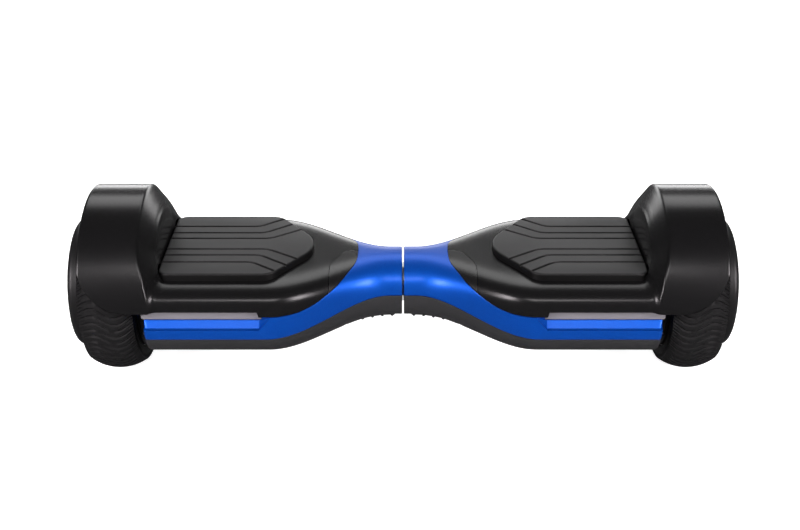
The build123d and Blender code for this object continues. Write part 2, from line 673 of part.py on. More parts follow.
def hub_cover():
    """Inner side plate with the second bearing seat."""
    boss, seat = BEARING_RADIUS + 4.5, BEARING_RADIUS + FIT
    inner, end = COVER_X, DRUM_INNER_X + BEARING_WIDTH + 0.5
    cover = turned(
        (inner, AXLE_RADIUS + 1),
        (DRUM_INNER_X - 0.1, AXLE_RADIUS + 1),
        (DRUM_INNER_X - 0.1, seat),
        (end, seat),
        (end, boss),
        (DRUM_INNER_X - 0.1, boss),
        (DRUM_INNER_X - 0.1, RIM_RADIUS - 0.6),
        (inner + 1.5, RIM_RADIUS - 0.6),
        (inner, RIM_RADIUS - 2.1),
    )
    for screw in cover_screw_shanks(0.2):
        cover -= screw
    return cover


def wheel_bearings():
    """Two ball bearings, each as one ring with its shield grooves."""
    rings = []
    for start in (DRUM_INNER_X + 0.1, DRUM_DISC_X - BEARING_WIDTH - 0.1):
        end = start + BEARING_WIDTH
        ring = tube(start, end, BEARING_RADIUS, AXLE_RADIUS + FIT)
        for face in (start, end):
            ring -= tube(face - 0.6, face + 0.6, BEARING_RADIUS - 2.5, AXLE_RADIUS + 2.5)
        rings.append(ring.solid())
    return Compound(rings)


def magnet_ring():
    middle = STATOR_X
    outer = DRUM_INNER_RADIUS - FIT
    half = STATOR_WIDTH / 2 + 1
    return tube(middle - half, middle + half, outer, outer - MAGNET_THICKNESS)


def tooth_spots():
    return [360.0 * i / STATOR_TEETH for i in range(STATOR_TEETH)]


def around_axle(shape, angle):
    return shape.rotate(Axis((0, 0, AXLE_Z), (1, 0, 0)), angle)


def tooth(extra, x0, x1, low, high):
    """A stator tooth's stem, pointing up, larger by extra on its flanks."""
    return block(x0, x1, -2.5 - extra, 2.5 + extra, AXLE_Z + low, AXLE_Z + high)


def stator_core():
    """Laminated core with a ring of teeth."""
    x0, x1 = STATOR_X - STATOR_WIDTH / 2, STATOR_X + STATOR_WIDTH / 2
    yoke, tip = STATOR_RADIUS - 17, STATOR_RADIUS - 4
    core = tube(x0, x1, yoke, STATOR_BORE)
    rim = tube(x0, x1, STATOR_RADIUS, tip)
    slot = block(x0 - 1, x1 + 1, -1.2, 1.2, AXLE_Z, AXLE_Z + STATOR_RADIUS + 5)
    half_pitch = 180.0 / STATOR_TEETH
    teeth = [around_axle(tooth(0, x0, x1, yoke - 1, tip + 1), a) for a in tooth_spots()]
    slots = [around_axle(slot, a + half_pitch) for a in tooth_spots()]
    return core + (rim - slots) + teeth


def stator_windings():
    """One copper coil round each tooth."""
    x0, x1 = STATOR_X - STATOR_WIDTH / 2, STATOR_X + STATOR_WIDTH / 2
    low, high = STATOR_RADIUS - 15.5, STATOR_RADIUS - 4.5
    coil = tooth(1.8, x0 - 3, x1 + 3, low, high) - tooth(0.1, x0 - 0.2, x1 + 0.2, low - 1, high + 1)
    return Compound([around_axle(coil, a).solid() for a in tooth_spots()])


def tyre():
    """Solid rubber tyre with a crowned tread."""
    seat, bulge, tread = TYRE_SEAT_WIDTH / 2, TYRE_SEAT_WIDTH / 2 + TYRE_BULGE, TREAD_WIDTH / 2
    shoulder = TYRE_RADIUS - TREAD_DROP
    with BuildSketch(Plane((WHEEL_X, 0, AXLE_Z), x_dir=(1, 0, 0), z_dir=(0, -1, 0))) as profile:
        with BuildLine():
            Line((-seat, RIM_RADIUS), (seat, RIM_RADIUS))
            Spline(
                (seat, RIM_RADIUS), (bulge, (RIM_RADIUS + shoulder) / 2), (tread, shoulder),
                tangents=[(1, 0.6), (-0.7, 1)],
            )
            ThreePointArc((tread, shoulder), (0, TYRE_RADIUS), (-tread, shoulder))
            Spline(
                (-tread, shoulder), (-bulge, (RIM_RADIUS + shoulder) / 2), (-seat, RIM_RADIUS),
                tangents=[(-0.7, -1), (1, -0.6)],
            )
        make_face()
    return revolve(profile.sketch, Axis((0, 0, AXLE_Z), (1, 0, 0)), 360)


def hub_cap():
    """Domed outer cover of the wheel."""
    start, face, outer = DRUM_OUTER_X + SEAT, CAP_FACE_X, RIM_RADIUS - 1
    return turned(
        (start, outer),
        (face - 5, outer),
        (face, outer - 4),
        (face, 0),
        (face - WALL, 0),
        (face - WALL, outer - 6),
        (face - 6, outer - WALL),
        (start, outer - WALL),
    )


# --- Electrics -------------------------------------------------------------------------------
BOARD = 1.6
BOARD_TOP_Z = AXLE_Z + 12.6
MAIN_X, MAIN_Z, MAIN_HALF_DEPTH = (FLARE_END + DECK_END_X) / 2 - 10, AXLE_Z - 24, 38.0
MAIN_HALF_LENGTH = 51.0
PORT_X, PORT_Y, PORT_RADIUS, PORT_BORE = MAIN_X - 6, 18.0, 8.0, 6.0
PORT_LEAD, PORT_LEAD_RADIUS, PORT_DEPTH = 2.7, 6.6, 5.0  # the mouth that takes the flap's plug
PORT_MOUTH_Z = AXLE_Z - DECK_DROP - 0.5
BUTTON_RADIUS, BUTTON_TRAVEL = 8.0, 1.2
CAP_HINGE_Y = PORT_Y + 13.0


def gyro_board():
    """Tilt-sensing board with two slotted optical switches."""
    length, depth = GYRO_HALF_LENGTH, GYRO_HALF_DEPTH
    board = block(
        GYRO_X - length, GYRO_X + length, -depth, depth, BOARD_TOP_Z - BOARD, BOARD_TOP_Z
    )
    for x in SENSORS_X:
        sensor = block(x - 6.5, x + 6.5, -5, 5, BOARD_TOP_Z - 0.2, BOARD_TOP_Z + 7.5)
        sensor -= block(x - 2.5, x + 2.5, -6, 6, BOARD_TOP_Z + 1.4, BOARD_TOP_Z + 10)
        board += sensor
    board += block(GYRO_X - 8, GYRO_X + 4, 12, 22, BOARD_TOP_Z - 0.2, BOARD_TOP_Z + 2)
    board += block(GYRO_X - 8, GYRO_X + 8, -26, -19, BOARD_TOP_Z - 0.2, BOARD_TOP_Z + 6)
    return board


def main_board():
    """Motor controller: board, heat sink, capacitors, plugs and the button's switch."""
    x0, x1 = MAIN_X - MAIN_HALF_LENGTH, MAIN_X + MAIN_HALF_LENGTH
    top = MAIN_Z + BOARD
    board = block(x0, x1, -MAIN_HALF_DEPTH, MAIN_HALF_DEPTH, MAIN_Z, top)
    sink = block(MAIN_X - 33, MAIN_X + 33, 12, 27, top - 0.2, top + 9)
    for i in range(9):
        fin = MAIN_X - 29 + 7 * i
        sink -= block(fin, fin + 3, 11, 28, top + 3, top + 10)
    board += sink
    for x in (MAIN_X - 20, MAIN_X):
        board += post(x, -22, top - 0.2, top + 11, 5)
    board += block(x0 + 1, x0 + 11, -8, 8, top - 0.2, top + 8.5)
    motor_plug = WINDOWS_X[1]
    board += block(motor_plug - 7, motor_plug + 7, -8, 8, top - 0.2, top + 4.7)
    switch = AXLE_Z - 33 + SEAT + BUTTON_TRAVEL
    board += block(PORT_X - 5, PORT_X + 5, -PORT_Y - 5, -PORT_Y + 5, switch, MAIN_Z + 0.2)
    return board


def power_button():
    """Round push button in the bottom shell, with its stem up to the switch."""
    inner = PORT_MOUTH_Z + WALL + 2.5
    button = post(PORT_X, -PORT_Y, PORT_MOUTH_Z, inner + 0.2, BUTTON_RADIUS)
    button += post(PORT_X, -PORT_Y, inner, inner + 1.6, BUTTON_RADIUS + 1.5)
    button += post(PORT_X, -PORT_Y, inner, AXLE_Z - 33, 3)
    return button


def charge_port():
    """Round charging socket with three contacts, held by a flange inside the shell."""
    inner = PORT_MOUTH_Z + WALL + 2.5
    port = post(PORT_X, PORT_Y, PORT_MOUTH_Z, AXLE_Z - 34, PORT_RADIUS)
    port += post(PORT_X, PORT_Y, inner, inner + 2, PORT_RADIUS + 2.5)
    bore_z = PORT_MOUTH_Z + PORT_LEAD
    port -= post(PORT_X, PORT_Y, PORT_MOUTH_Z - 1, bore_z, PORT_LEAD_RADIUS)
    port -= post(PORT_X, PORT_Y, PORT_MOUTH_Z, bore_z + PORT_DEPTH, PORT_BORE)
    port -= post(PORT_X, PORT_Y, PORT_MOUTH_Z, AXLE_Z - 37, PORT_BORE - 1)
    for i in range(3):
        angle = 2 * pi * i / 3
        x, y = PORT_X + 2.8 * cos(angle), PORT_Y + 2.8 * sin(angle)
        port += post(x, y, bore_z + PORT_DEPTH + 1, AXLE_Z - 35, 0.9)
    return port


def charge_cap():
    """Rubber flap with a plug, hinged beside the charging socket."""
    top = PORT_MOUTH_Z - 0.3
    cap = post(PORT_X, PORT_Y, top - 2.3, top, PORT_BORE + 3.5)
    cap += post(PORT_X, PORT_Y, top - 0.1, top + PORT_LEAD - 0.1, PORT_LEAD_RADIUS - 0.4)
    cap += block(PORT_X - 4, PORT_X + 4, PORT_Y + 5, CAP_HINGE_Y, top - 2.3, top)
    knuckle = Cylinder(1.5, 8, rotation=(0, 90, 0))
    return cap + Pos(PORT_X, CAP_HINGE_Y, PORT_MOUTH_Z + 0.1) * knuckle


def battery_pack():
    """Lithium pack in its case under the right frame, with its lead up to the tube's mouth."""
    x0, x1 = FLARE_END - 6, DECK_END_X - WALL - 4
    case = block(x0, x1, -39, 39, AXLE_Z - DECK_DROP + 6.2, PLATE_UNDER_Z - 0.3)
    case = chamfer(case.edges().filter_by(Axis.Z), 3)
    return case + loom_to_plug(-CABLE_OFFSET, BOSS_LENGTH + 5 + 1.8, x0 + 2)


def cable_run(y, points):
    """A round cable along straight runs joined by tangent arcs, at one depth."""
    path = FilletPolyline(*[(x, y, z) for x, z in points], radius=CABLE_BEND)
    return sweep(Plane(path @ 0, z_dir=path % 0) * Circle(CABLE_RADIUS), path)


def loom_to_plug(y, start, end):
    """From the tube's mouth, through the plate's window, to a plug under the plate."""
    down = AXLE_Z - 18
    turn = WINDOWS_X[0]
    return cable_run(y, [(start, AXLE_Z), (turn, AXLE_Z), (turn, down), (end, down)])


def link_cables():
    """The left half's two cables, which run through the tube to the right half."""
    start = -(BOSS_LENGTH + 5 + 1.5)
    end = MAIN_X - MAIN_HALF_LENGTH + 1 - SEAT
    runs = [loom_to_plug(y, start, end) for y in (-CABLE_OFFSET, CABLE_OFFSET)]
    return mirrored(Compound([run.solid() for run in runs]))


def motor_cable(left):
    """From the hollow axle to the controller, or in the right half to the tube's mouth."""
    start = (AXLE_INNER_X - SEAT, AXLE_Z)
    if left:
        down = MAIN_Z + BOARD + 4.7 + SEAT
        return cable_run(0, [start, (WINDOWS_X[1], AXLE_Z), (WINDOWS_X[1], down)])
    points = [(start[0], 0), (150, 0), (110, CABLE_OFFSET), (BOSS_LENGTH + 6.8, CABLE_OFFSET)]
    path = FilletPolyline(*[(x, y, AXLE_Z) for x, y in points], radius=60)
    return sweep(Plane(path @ 0, z_dir=path % 0) * Circle(CABLE_RADIUS), path)


def shell_screws():
    """Six screws: four into the top shell and two into the coloured band."""
    screws = []
    spots = [(x, y, DECK_WELL_Z, DECK_SCREW_LENGTH) for x, y in DECK_SCREWS]
    spots += [(x, y, NECK_WELL_Z, NECK_SCREW_LENGTH) for x, y in NECK_SCREWS]
    for x, y, floor, length in spots:
        screw = post(x, y, floor - 0.1, floor + length, SCREW_RADIUS)
        head = post(x, y, floor - SCREW_HEAD, floor - 0.05, SCREW_HEAD_RADIUS)
        head -= extrude(Pos(x, y, floor - SCREW_HEAD - 1) * RegularPolygon(1.8, 6), amount=2.5)
        screws.append((screw + head).solid())
    return Compound(screws)


# --- Assembly --------------------------------------------------------------------------------
def write(name, shape):
    """One STEP per node."""
    export_step(Compound(list(shape.solids())), f"parts/{name}.step")


def write_pair(name, shape):
    write(f"{name}_right", shape)
    write(f"{name}_left", mirrored(shape))


os.makedirs("parts", exist_ok=True)

OUTSIDE = skin(0)
INSIDE = skin(WALL, start=NECK_END_X + WALL, end=DECK_END_X - WALL)

PAIRS = {
    "top_shell": top_shell(OUTSIDE, INSIDE),
    "side_band": side_band(OUTSIDE, INSIDE),
    "indicator_lens": indicator_lens(OUTSIDE, INSIDE),
    "neck_grip": neck_grip(),
    "foot_pad": foot_pad(),
    "pad_plungers": pad_plungers(),
    "light_lenses": light_lenses(),
    "light_boards": light_boards(),
    "gyro_board": gyro_board(),
    "axle": axle(),
    "axle_clamp": axle_clamp(),
    "clamp_bolts": clamp_bolts(),
    "stator_core": stator_core(),
    "stator_windings": stator_windings(),
    "magnet_ring": magnet_ring(),
    "rotor_drum": rotor_drum(),
    "hub_cover": hub_cover(),
    "cover_screws": cover_screws(),
    "wheel_bearings": wheel_bearings(),
    "tyre": tyre(),
    "hub_cap": hub_cap(),
    "shell_screws": shell_screws(),
}
for name, shape in PAIRS.items():
    write_pair(name, shape)

write("bottom_shell_right", bottom_shell(OUTSIDE, INSIDE, left=False))
write("bottom_shell_left", mirrored(bottom_shell(OUTSIDE, INSIDE, left=True)))
write("frame_right", frame(left=False))
write("frame_left", mirrored(frame(left=True)))
write("motor_cable_right", motor_cable(left=False))
write("motor_cable_left", mirrored(motor_cable(left=True)))
write("pivot_tube", pivot_tube())
write("dowel_pins", dowel_pins())
write("pivot_bushes", pivot_bushes())
write("retaining_ring", retaining_ring())
write("main_board", mirrored(main_board()))
write("power_button", mirrored(power_button()))
write("charge_port", mirrored(charge_port()))
write("charge_cap", mirrored(charge_cap()))
write("battery_pack", battery_pack())
write("link_cables", link_cables())
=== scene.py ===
from math import atan2, cos, pi, radians, sin, sqrt, tan

import bmesh
import bpy
import numpy as np
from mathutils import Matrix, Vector


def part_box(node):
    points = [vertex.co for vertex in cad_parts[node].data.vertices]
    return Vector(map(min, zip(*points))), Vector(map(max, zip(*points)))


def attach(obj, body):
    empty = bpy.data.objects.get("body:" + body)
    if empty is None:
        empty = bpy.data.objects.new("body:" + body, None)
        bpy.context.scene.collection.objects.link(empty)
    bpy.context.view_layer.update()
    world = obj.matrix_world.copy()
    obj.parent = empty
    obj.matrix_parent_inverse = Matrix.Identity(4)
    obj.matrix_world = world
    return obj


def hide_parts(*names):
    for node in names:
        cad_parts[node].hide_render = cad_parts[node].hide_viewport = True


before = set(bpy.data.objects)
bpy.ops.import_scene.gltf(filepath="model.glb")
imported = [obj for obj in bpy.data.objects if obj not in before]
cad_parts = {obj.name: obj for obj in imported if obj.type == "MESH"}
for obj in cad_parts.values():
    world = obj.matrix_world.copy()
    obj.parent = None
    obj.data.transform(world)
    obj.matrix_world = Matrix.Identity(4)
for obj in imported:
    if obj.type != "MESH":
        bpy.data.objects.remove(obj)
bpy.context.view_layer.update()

# --- Studio ----------------------------------------------------------------------------------
# The board stands on a white sweep, with long soft lights above its back and front, a low one
# behind and a smaller one at each side. The camera looks down on its front at 27 degrees. The sweep
# and its wall stay out of the gloss, so that black plastic looks black.
tyre_low, tyre_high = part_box("tyre_right")
AXLE_Z = (tyre_low.z + tyre_high.z) / 2

CAMERA_RANGE = 1.200
CAMERA_DROP = radians(27)
CAMERA_TILT_UP = atan2(16, 1226)
CAMERA_SHIFT_LEFT = 0.0029
camera_data = bpy.data.cameras.new("camera")
camera_data.lens = 55.2
camera_data.sensor_width = 36.0
camera = bpy.data.objects.new("camera", camera_data)
camera.location = (-CAMERA_SHIFT_LEFT, -CAMERA_RANGE * cos(CAMERA_DROP),
                   AXLE_Z + CAMERA_RANGE * sin(CAMERA_DROP))
camera.rotation_euler = (pi / 2 - CAMERA_DROP + CAMERA_TILT_UP, 0, 0)
bpy.context.collection.objects.link(camera)
bpy.context.scene.camera = camera
bpy.context.scene.view_settings.view_transform = "Standard"


def softbox(name, at, towards, size, watts, tint=(1, 1, 1)):
    """A rectangular soft light that faces a point."""
    data = bpy.data.lights.new(name, "AREA")
    data.shape = "RECTANGLE"
    data.size, data.size_y = size
    data.energy = watts
    data.color = tint
    lamp = bpy.data.objects.new(name, data)
    lamp.location = at
    lamp.rotation_euler = (Vector(towards) - Vector(at)).to_track_quat("-Z", "Y").to_euler()
    bpy.context.collection.objects.link(lamp)


softbox("overhead_softbox", (0, 1.05, 1.25), (0, 0, 0.1), (1.6, 0.6), 13)
softbox("front_softbox", (0, -1.6, 1.4), (0, 0, 0.1), (1.2, 0.35), 20, (1.0, 0.96, 0.97))
softbox("left_softbox", (-1.0, -0.85, 0.62), (-0.2, 0, 0.1), (0.34, 0.50), 21, (1.0, 0.93, 0.96))
softbox("right_softbox", (1.0, -0.85, 0.62), (0.2, 0, 0.1), (0.34, 0.50), 21, (1.0, 0.93, 0.96))
softbox("back_softbox", (0, 1.7, 0.3), (0, 0, 0.1), (2.2, 0.4), 12)

world = bpy.data.worlds.new("studio")
bpy.context.scene.world = world
world.use_nodes = True
world.node_tree.nodes["Background"].inputs["Color"].default_value = (1, 1, 1, 1)
world.node_tree.nodes["Background"].inputs["Strength"].default_value = 0.10

FLOOR_Z = -0.0006
floor_mesh = bpy.data.meshes.new("sweep")
floor_mesh.from_pydata([(-9, -9, FLOOR_Z), (9, -9, FLOOR_Z), (9, 12, FLOOR_Z), (-9, 12, FLOOR_Z)], [],
                       [(0, 1, 2, 3)])
floor = bpy.data.objects.new("sweep", floor_mesh)
bpy.context.collection.objects.link(floor)
floor.visible_glossy = False
floor_paint = bpy.data.materials.new("white_sweep")
floor_paint.use_nodes = True
floor_shader = floor_paint.node_tree.nodes["Principled BSDF"]
floor_shader.inputs["Base Color"].default_value = (0.9, 0.9, 0.9, 1)
floor_shader.inputs["Roughness"].default_value = 0.6
floor_shader.inputs["Emission Color"].default_value = (1, 1, 1, 1)
floor_shader.inputs["Emission Strength"].default_value = 0.80
floor_mesh.materials.append(floor_paint)

WALL_SIDES, WALL_RANGE, WALL_HEIGHT = 48, 8.5, 9.0
wall_foot = [(WALL_RANGE * cos(2 * pi * i / WALL_SIDES), WALL_RANGE * sin(2 * pi * i / WALL_SIDES))
             for i in range(WALL_SIDES)]
backdrop_mesh = bpy.data.meshes.new("backdrop")
backdrop_mesh.from_pydata([(x, y, z) for z in (-0.01, WALL_HEIGHT) for x, y in wall_foot], [],
                          [(i, (i + 1) % WALL_SIDES, (i + 1) % WALL_SIDES + WALL_SIDES, i + WALL_SIDES)
                           for i in range(WALL_SIDES)])
backdrop = bpy.data.objects.new("backdrop", backdrop_mesh)
bpy.context.collection.objects.link(backdrop)
backdrop.visible_glossy = backdrop.visible_diffuse = backdrop.visible_shadow = False
backdrop_mesh.materials.append(floor_paint)

# --- Upper shells ----------------------------------------------------------------------------
# Each half's deck, wheel arch and pad tray are one injection moulding in black plastic with a fine
# satin grain. It drops over the side band and is screwed from below.
MM = 0.001
FLARE_START, FLARE_END = 12.0, 125.0
NECK_FORM = (36.0, 32.0, 29.0, 2.3, 2.3)  # half depth, rise, drop, and how square, above and below
DECK_FORM = (90.0, 34.5, 50.0, 5.5, 2.5)
DECK_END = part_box("side_band_right")[1].x / MM
ARCH_OUTER_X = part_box("top_shell_right")[1].x / MM
ARCH_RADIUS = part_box("top_shell_right")[1].z / MM - AXLE_Z / MM
AXLE = AXLE_Z / MM
NECK_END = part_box("side_band_right")[0].x / MM
WALL = 3.0
SEAM = 0.4
TOP_SEAM = AXLE + 8.0
PARTING = AXLE - 16.0
TOP_SEAM_LINE = ((30, 131.6), (36, 123.8), (43, 116.6), (51, 112.8), (60, 107.4), (70, 102),
                 (83, 96), (96, 92.8), (110, TOP_SEAM), (124, TOP_SEAM), (240, TOP_SEAM))


def smooth_step(share):
    share = np.clip(share, 0.0, 1.0)
    return share * share * (3 - 2 * share)


def smooth_line(x, points):
    """A smooth curve through a few points that doesn't overshoot them."""
    px = np.array([p[0] for p in points], float)
    pz = np.array([p[1] for p in points], float)
    slope = np.diff(pz) / np.diff(px)
    ends = np.concatenate([[slope[0]], 0.5 * (slope[1:] + slope[:-1]), [slope[-1]]])
    for i in range(1, len(px) - 1):
        if slope[i - 1] * slope[i] <= 0:
            ends[i] = 0
    i = int(np.clip(np.searchsorted(px, x) - 1, 0, len(px) - 2))
    span = px[i + 1] - px[i]
    t = np.clip((x - px[i]) / span, 0, 1)
    return (
        (1 + 2 * t) * (1 - t) ** 2 * pz[i] + t * (1 - t) ** 2 * span * ends[i]
        + t * t * (3 - 2 * t) * pz[i + 1] + t * t * (t - 1) * span * ends[i + 1]
    )


def skin_radius(x, angle):
    """How far the board's skin lies from the axle line; the angle is 0 straight up."""
    share = smooth_step((x - FLARE_START) / (FLARE_END - FLARE_START))
    depth, rise, drop, above, below = (a + (b - a) * share for a, b in zip(NECK_FORM, DECK_FORM))
    across, up = np.abs(np.sin(angle)), np.cos(angle)
    height = np.where(up >= 0, rise, drop)
    power = np.where(up >= 0, above, below)
    return ((across / depth) ** power + (np.abs(up) / height) ** power) ** (-1 / power)


ARCH_WALL = ((225.5, 26), (227.5, 40), (227.9, 60), (228.7, 67.5), (231.2, 74), (235.4, 82),
             (239.6, 89.6), (242.0, 93.6), (244.0, 95.0), (300, 95.0))
ARCH_RIM = 2.2
ARCH_BLEND, ARCH_SWEEP = 4.0, 9.0  # the blend at the top, and how much it grows to the front and rear
ARCH_TABLE_X = np.arange(200.0, 300.0, 0.25)
ARCH_TABLE = np.array([smooth_line(max(x, ARCH_WALL[0][0]), ARCH_WALL) for x in ARCH_TABLE_X])


def top_radius(x, angle):
    """The upper shell's outside: the deck, then the arch. Its inner wall is concave and steep at
    the top, and sweeps further inboard and more softly towards the front and rear."""
    deck = skin_radius(x, angle)
    sweep = smooth_step((np.abs(angle) - radians(38)) / radians(34))
    arch = np.interp(x + ARCH_SWEEP * sweep, ARCH_TABLE_X, ARCH_TABLE)
    arch = arch * ARCH_RADIUS / ARCH_WALL[-1][1]
    if x < ARCH_WALL[0][0] - 12:
        return deck
    into_rim = max(0.0, x - (ARCH_OUTER_X - ARCH_RIM))
    arch = arch - (ARCH_RIM - sqrt(max(0.0, ARCH_RIM**2 - into_rim**2)))
    if x > DECK_END:
        return np.broadcast_to(arch, np.shape(deck)) * 1.0
    fade = (ARCH_BLEND + ARCH_SWEEP * sweep) * smooth_step((DECK_END + 2 - x) / 6) + 1e-6
    lift = np.maximum(fade - np.abs(arch - deck), 0) ** 2 / (4 * fade)
    return np.minimum(np.maximum(arch, deck) + lift, ARCH_RADIUS)


def angle_at(x, height, radius):
    """The angle at which a section of the given form passes a height, on the board's front."""
    low, high = 0.0, pi
    if height >= AXLE + float(radius(x, np.array(0.0))):
        return 0.0
    for _ in range(40):
        middle = (low + high) / 2
        if AXLE + float(radius(x, np.array(middle))) * cos(middle) > height:
            low = middle
        else:
            high = middle
    return (low + high) / 2


def on_section(angles, radii):
    """(y, z) points; positive angles lean to the front."""
    return np.stack([-radii * np.sin(angles), AXLE + radii * np.cos(angles)], axis=1)


def walled_row(x, outer, inner, edge=0.6, far_edge=None):
    """One closed loop of a thin shell at x: its outside, a softened edge, its inside, and again."""
    outer, inner = outer.copy(), inner[::-1].copy()

    def corner(at, along, across, edge):
        first, second = outer[along] - outer[at], inner[across] - outer[at]
        long_first, long_second = np.linalg.norm(first), np.linalg.norm(second)
        soft = min(edge, 0.4 * long_first, 0.4 * long_second)
        if soft < 1e-6:
            return outer[at], outer[at], outer[at]
        first, second = first / long_first, second / long_second
        return (outer[at] + soft * first, outer[at] + 0.29 * soft * (first + second),
                outer[at] + soft * second)

    end = corner(-1, -2, 0, edge if far_edge is None else far_edge)
    start = corner(0, 1, -1, edge)
    outer[-1], outer[0] = end[0], start[0]
    loop = np.concatenate([outer, [end[1], end[2]], inner, [start[2], start[1]]])
    return np.column_stack([np.full(len(loop), x), loop])


def shell_mesh(rows, count, open_until=None):
    """Faces between neighbouring loops, with both ends closed. Up to row open_until the loops
    have no edge at their far side, because two strips meet there."""
    size = len(rows[0])
    points = np.concatenate(rows) * MM
    faces = []
    for r in range(len(rows) - 1):
        for p in range(size):
            if open_until is not None and r < open_until and count - 1 <= p < count + 2:
                continue
            q = (p + 1) % size
            faces.append((r * size + p, r * size + q, (r + 1) * size + q, (r + 1) * size + p))
    for r, flip in ((0, False), (len(rows) - 1, True)):
        base = r * size
        inner = count + 2
        ends = [[base + k, base + k + 1, base + inner + count - 2 - k, base + inner + count - 1 - k]
                for k in range(count - 1)]
        if open_until is None or flip:
            ends.append([base + count - 1, base + count, base + count + 1, base + inner])
        ends.append([base + inner + count - 1, base + inner + count, base + inner + count + 1, base])
        faces += [tuple(f[::-1]) if not flip else tuple(f) for f in ends]
    return points, faces


def add_piece(name, points, faces, paint, body, side, replaced=(), weld=0.0, sharp=32):
    """A piece made on the right; on the left it is mirrored. Faces are turned outwards."""
    points = np.array(points, float)
    if side < 0:
        points = points * (-1, 1, 1)
    mesh = bpy.data.meshes.new(name)
    mesh.from_pydata([tuple(p) for p in points], [], faces)
    work = bmesh.new()
    work.from_mesh(mesh)
    bmesh.ops.remove_doubles(work, verts=work.verts, dist=weld or 1e-7)
    bmesh.ops.dissolve_degenerate(work, edges=work.edges, dist=1e-7)
    bmesh.ops.recalc_face_normals(work, faces=work.faces)
    work.to_mesh(mesh)
    work.free()
    mesh.shade_smooth()
    mesh.set_sharp_from_angle(angle=radians(sharp))
    piece = bpy.data.objects.new(name, mesh)
    bpy.context.collection.objects.link(piece)
    mesh.materials.append(paint)
    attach(piece, body)
    if replaced:
        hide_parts(*replaced)
    return piece


def cut(piece, points, faces, side, sharp=32):
    """Cuts a closed form out of a piece."""
    points = np.array(points, float) * ((-1, 1, 1) if side < 0 else (1, 1, 1))
    mesh = bpy.data.meshes.new("cutter")
    mesh.from_pydata([tuple(p) for p in points], [], faces)
    work = bmesh.new()
    work.from_mesh(mesh)
    bmesh.ops.recalc_face_normals(work, faces=work.faces)
    work.to_mesh(mesh)
    work.free()
    cutter = bpy.data.objects.new("cutter", mesh)
    bpy.context.collection.objects.link(cutter)
    change = piece.modifiers.new("cut", "BOOLEAN")
    change.operation = "DIFFERENCE"
    change.object = cutter
    change.solver = "EXACT"
    settled = piece.evaluated_get(bpy.context.evaluated_depsgraph_get())
    result = bpy.data.meshes.new_from_object(settled)
    piece.modifiers.clear()
    piece.data = result
    result.shade_smooth()
    result.set_sharp_from_angle(angle=radians(sharp))
    bpy.data.objects.remove(cutter)


def prism(outline, low, high):
    """A closed upright form over a plan outline, in metres."""
    count = len(outline)
    points = [(x * MM, y * MM, z * MM) for z in (low, high) for x, y in outline]
    faces = [tuple(range(count))[::-1], tuple(range(count, 2 * count))]
    faces += [(i, (i + 1) % count, count + (i + 1) % count, count + i) for i in range(count)]
    return points, faces


def rounded_outline(corners, radii, steps=10):
    """A closed outline with its corners rounded; radii go with the corners."""
    outline = []
    for i, radius in enumerate(radii):
        here = Vector(corners[i])
        back = (Vector(corners[i - 1]) - here).normalized()
        on = (Vector(corners[(i + 1) % len(corners)]) - here).normalized()
        half = back.angle(on) / 2
        centre = here + (back + on).normalized() * radius / sin(half)
        start, end = here + back * radius / tan(half), here + on * radius / tan(half)
        first, last = start - centre, end - centre
        turn = first.angle_signed(last)
        for k in range(steps + 1):
            a = -turn * k / steps
            outline.append((centre.x + first.x * cos(a) - first.y * sin(a),
                            centre.y + first.x * sin(a) + first.y * cos(a)))
    return outline


def moulded_plastic(name, colour, roughness, grain, grain_size, coat=0.0, speckle=0.12, gleam=0.3):
    """Injection-moulded plastic: a fine spark-eroded grain and slight unevenness in its gloss."""
    material = bpy.data.materials.new(name)
    material.use_nodes = True
    tree = material.node_tree
    shader = tree.nodes["Principled BSDF"]
    shader.inputs["Specular IOR Level"].default_value = gleam
    shader.inputs["Coat Weight"].default_value = coat
    shader.inputs["Coat Roughness"].default_value = 0.12
    place = tree.nodes.new("ShaderNodeTexCoord")
    fine = tree.nodes.new("ShaderNodeTexNoise")
    fine.inputs["Scale"].default_value = grain_size
    fine.inputs["Detail"].default_value = 3.0
    broad = tree.nodes.new("ShaderNodeTexNoise")
    broad.inputs["Scale"].default_value = 9.0
    broad.inputs["Detail"].default_value = 4.0
    for noise in (fine, broad):
        tree.links.new(place.outputs["Object"], noise.inputs["Vector"])
    gloss = tree.nodes.new("ShaderNodeMapRange")
    gloss.inputs["From Min"].default_value, gloss.inputs["From Max"].default_value = 0.3, 0.7
    gloss.inputs["To Min"].default_value = roughness * 0.9
    gloss.inputs["To Max"].default_value = roughness * 1.1
    tree.links.new(broad.outputs["Fac"], gloss.inputs["Value"])
    tree.links.new(gloss.outputs["Result"], shader.inputs["Roughness"])
    tone = tree.nodes.new("ShaderNodeMix")
    tone.data_type = "RGBA"
    tone.inputs["A"].default_value = (*[c * (1 - speckle) for c in colour], 1)
    tone.inputs["B"].default_value = (*[c * (1 + speckle) for c in colour], 1)
    tree.links.new(fine.outputs["Fac"], tone.inputs["Factor"])
    tree.links.new(tone.outputs["Result"], shader.inputs["Base Color"])
    bump = tree.nodes.new("ShaderNodeBump")
    bump.inputs["Strength"].default_value = grain
    bump.inputs["Distance"].default_value = 0.00012
    tree.links.new(fine.outputs["Fac"], bump.inputs["Height"])
    tree.links.new(bump.outputs["Normal"], shader.inputs["Normal"])
    return material


black_shell = moulded_plastic("black_shell", (0.0036, 0.0036, 0.0038), 0.25, 0.10, 2600, gleam=0.20)

TOP_POINTS = 121
AXLE_HOLE = 14.2  # the end walls' hole round the axle
TIP_X = 43.35
RIM_START = ARCH_OUTER_X - 47.0
NOTCH_START = 131.6
NOTCH_TOP = AXLE + 13.2


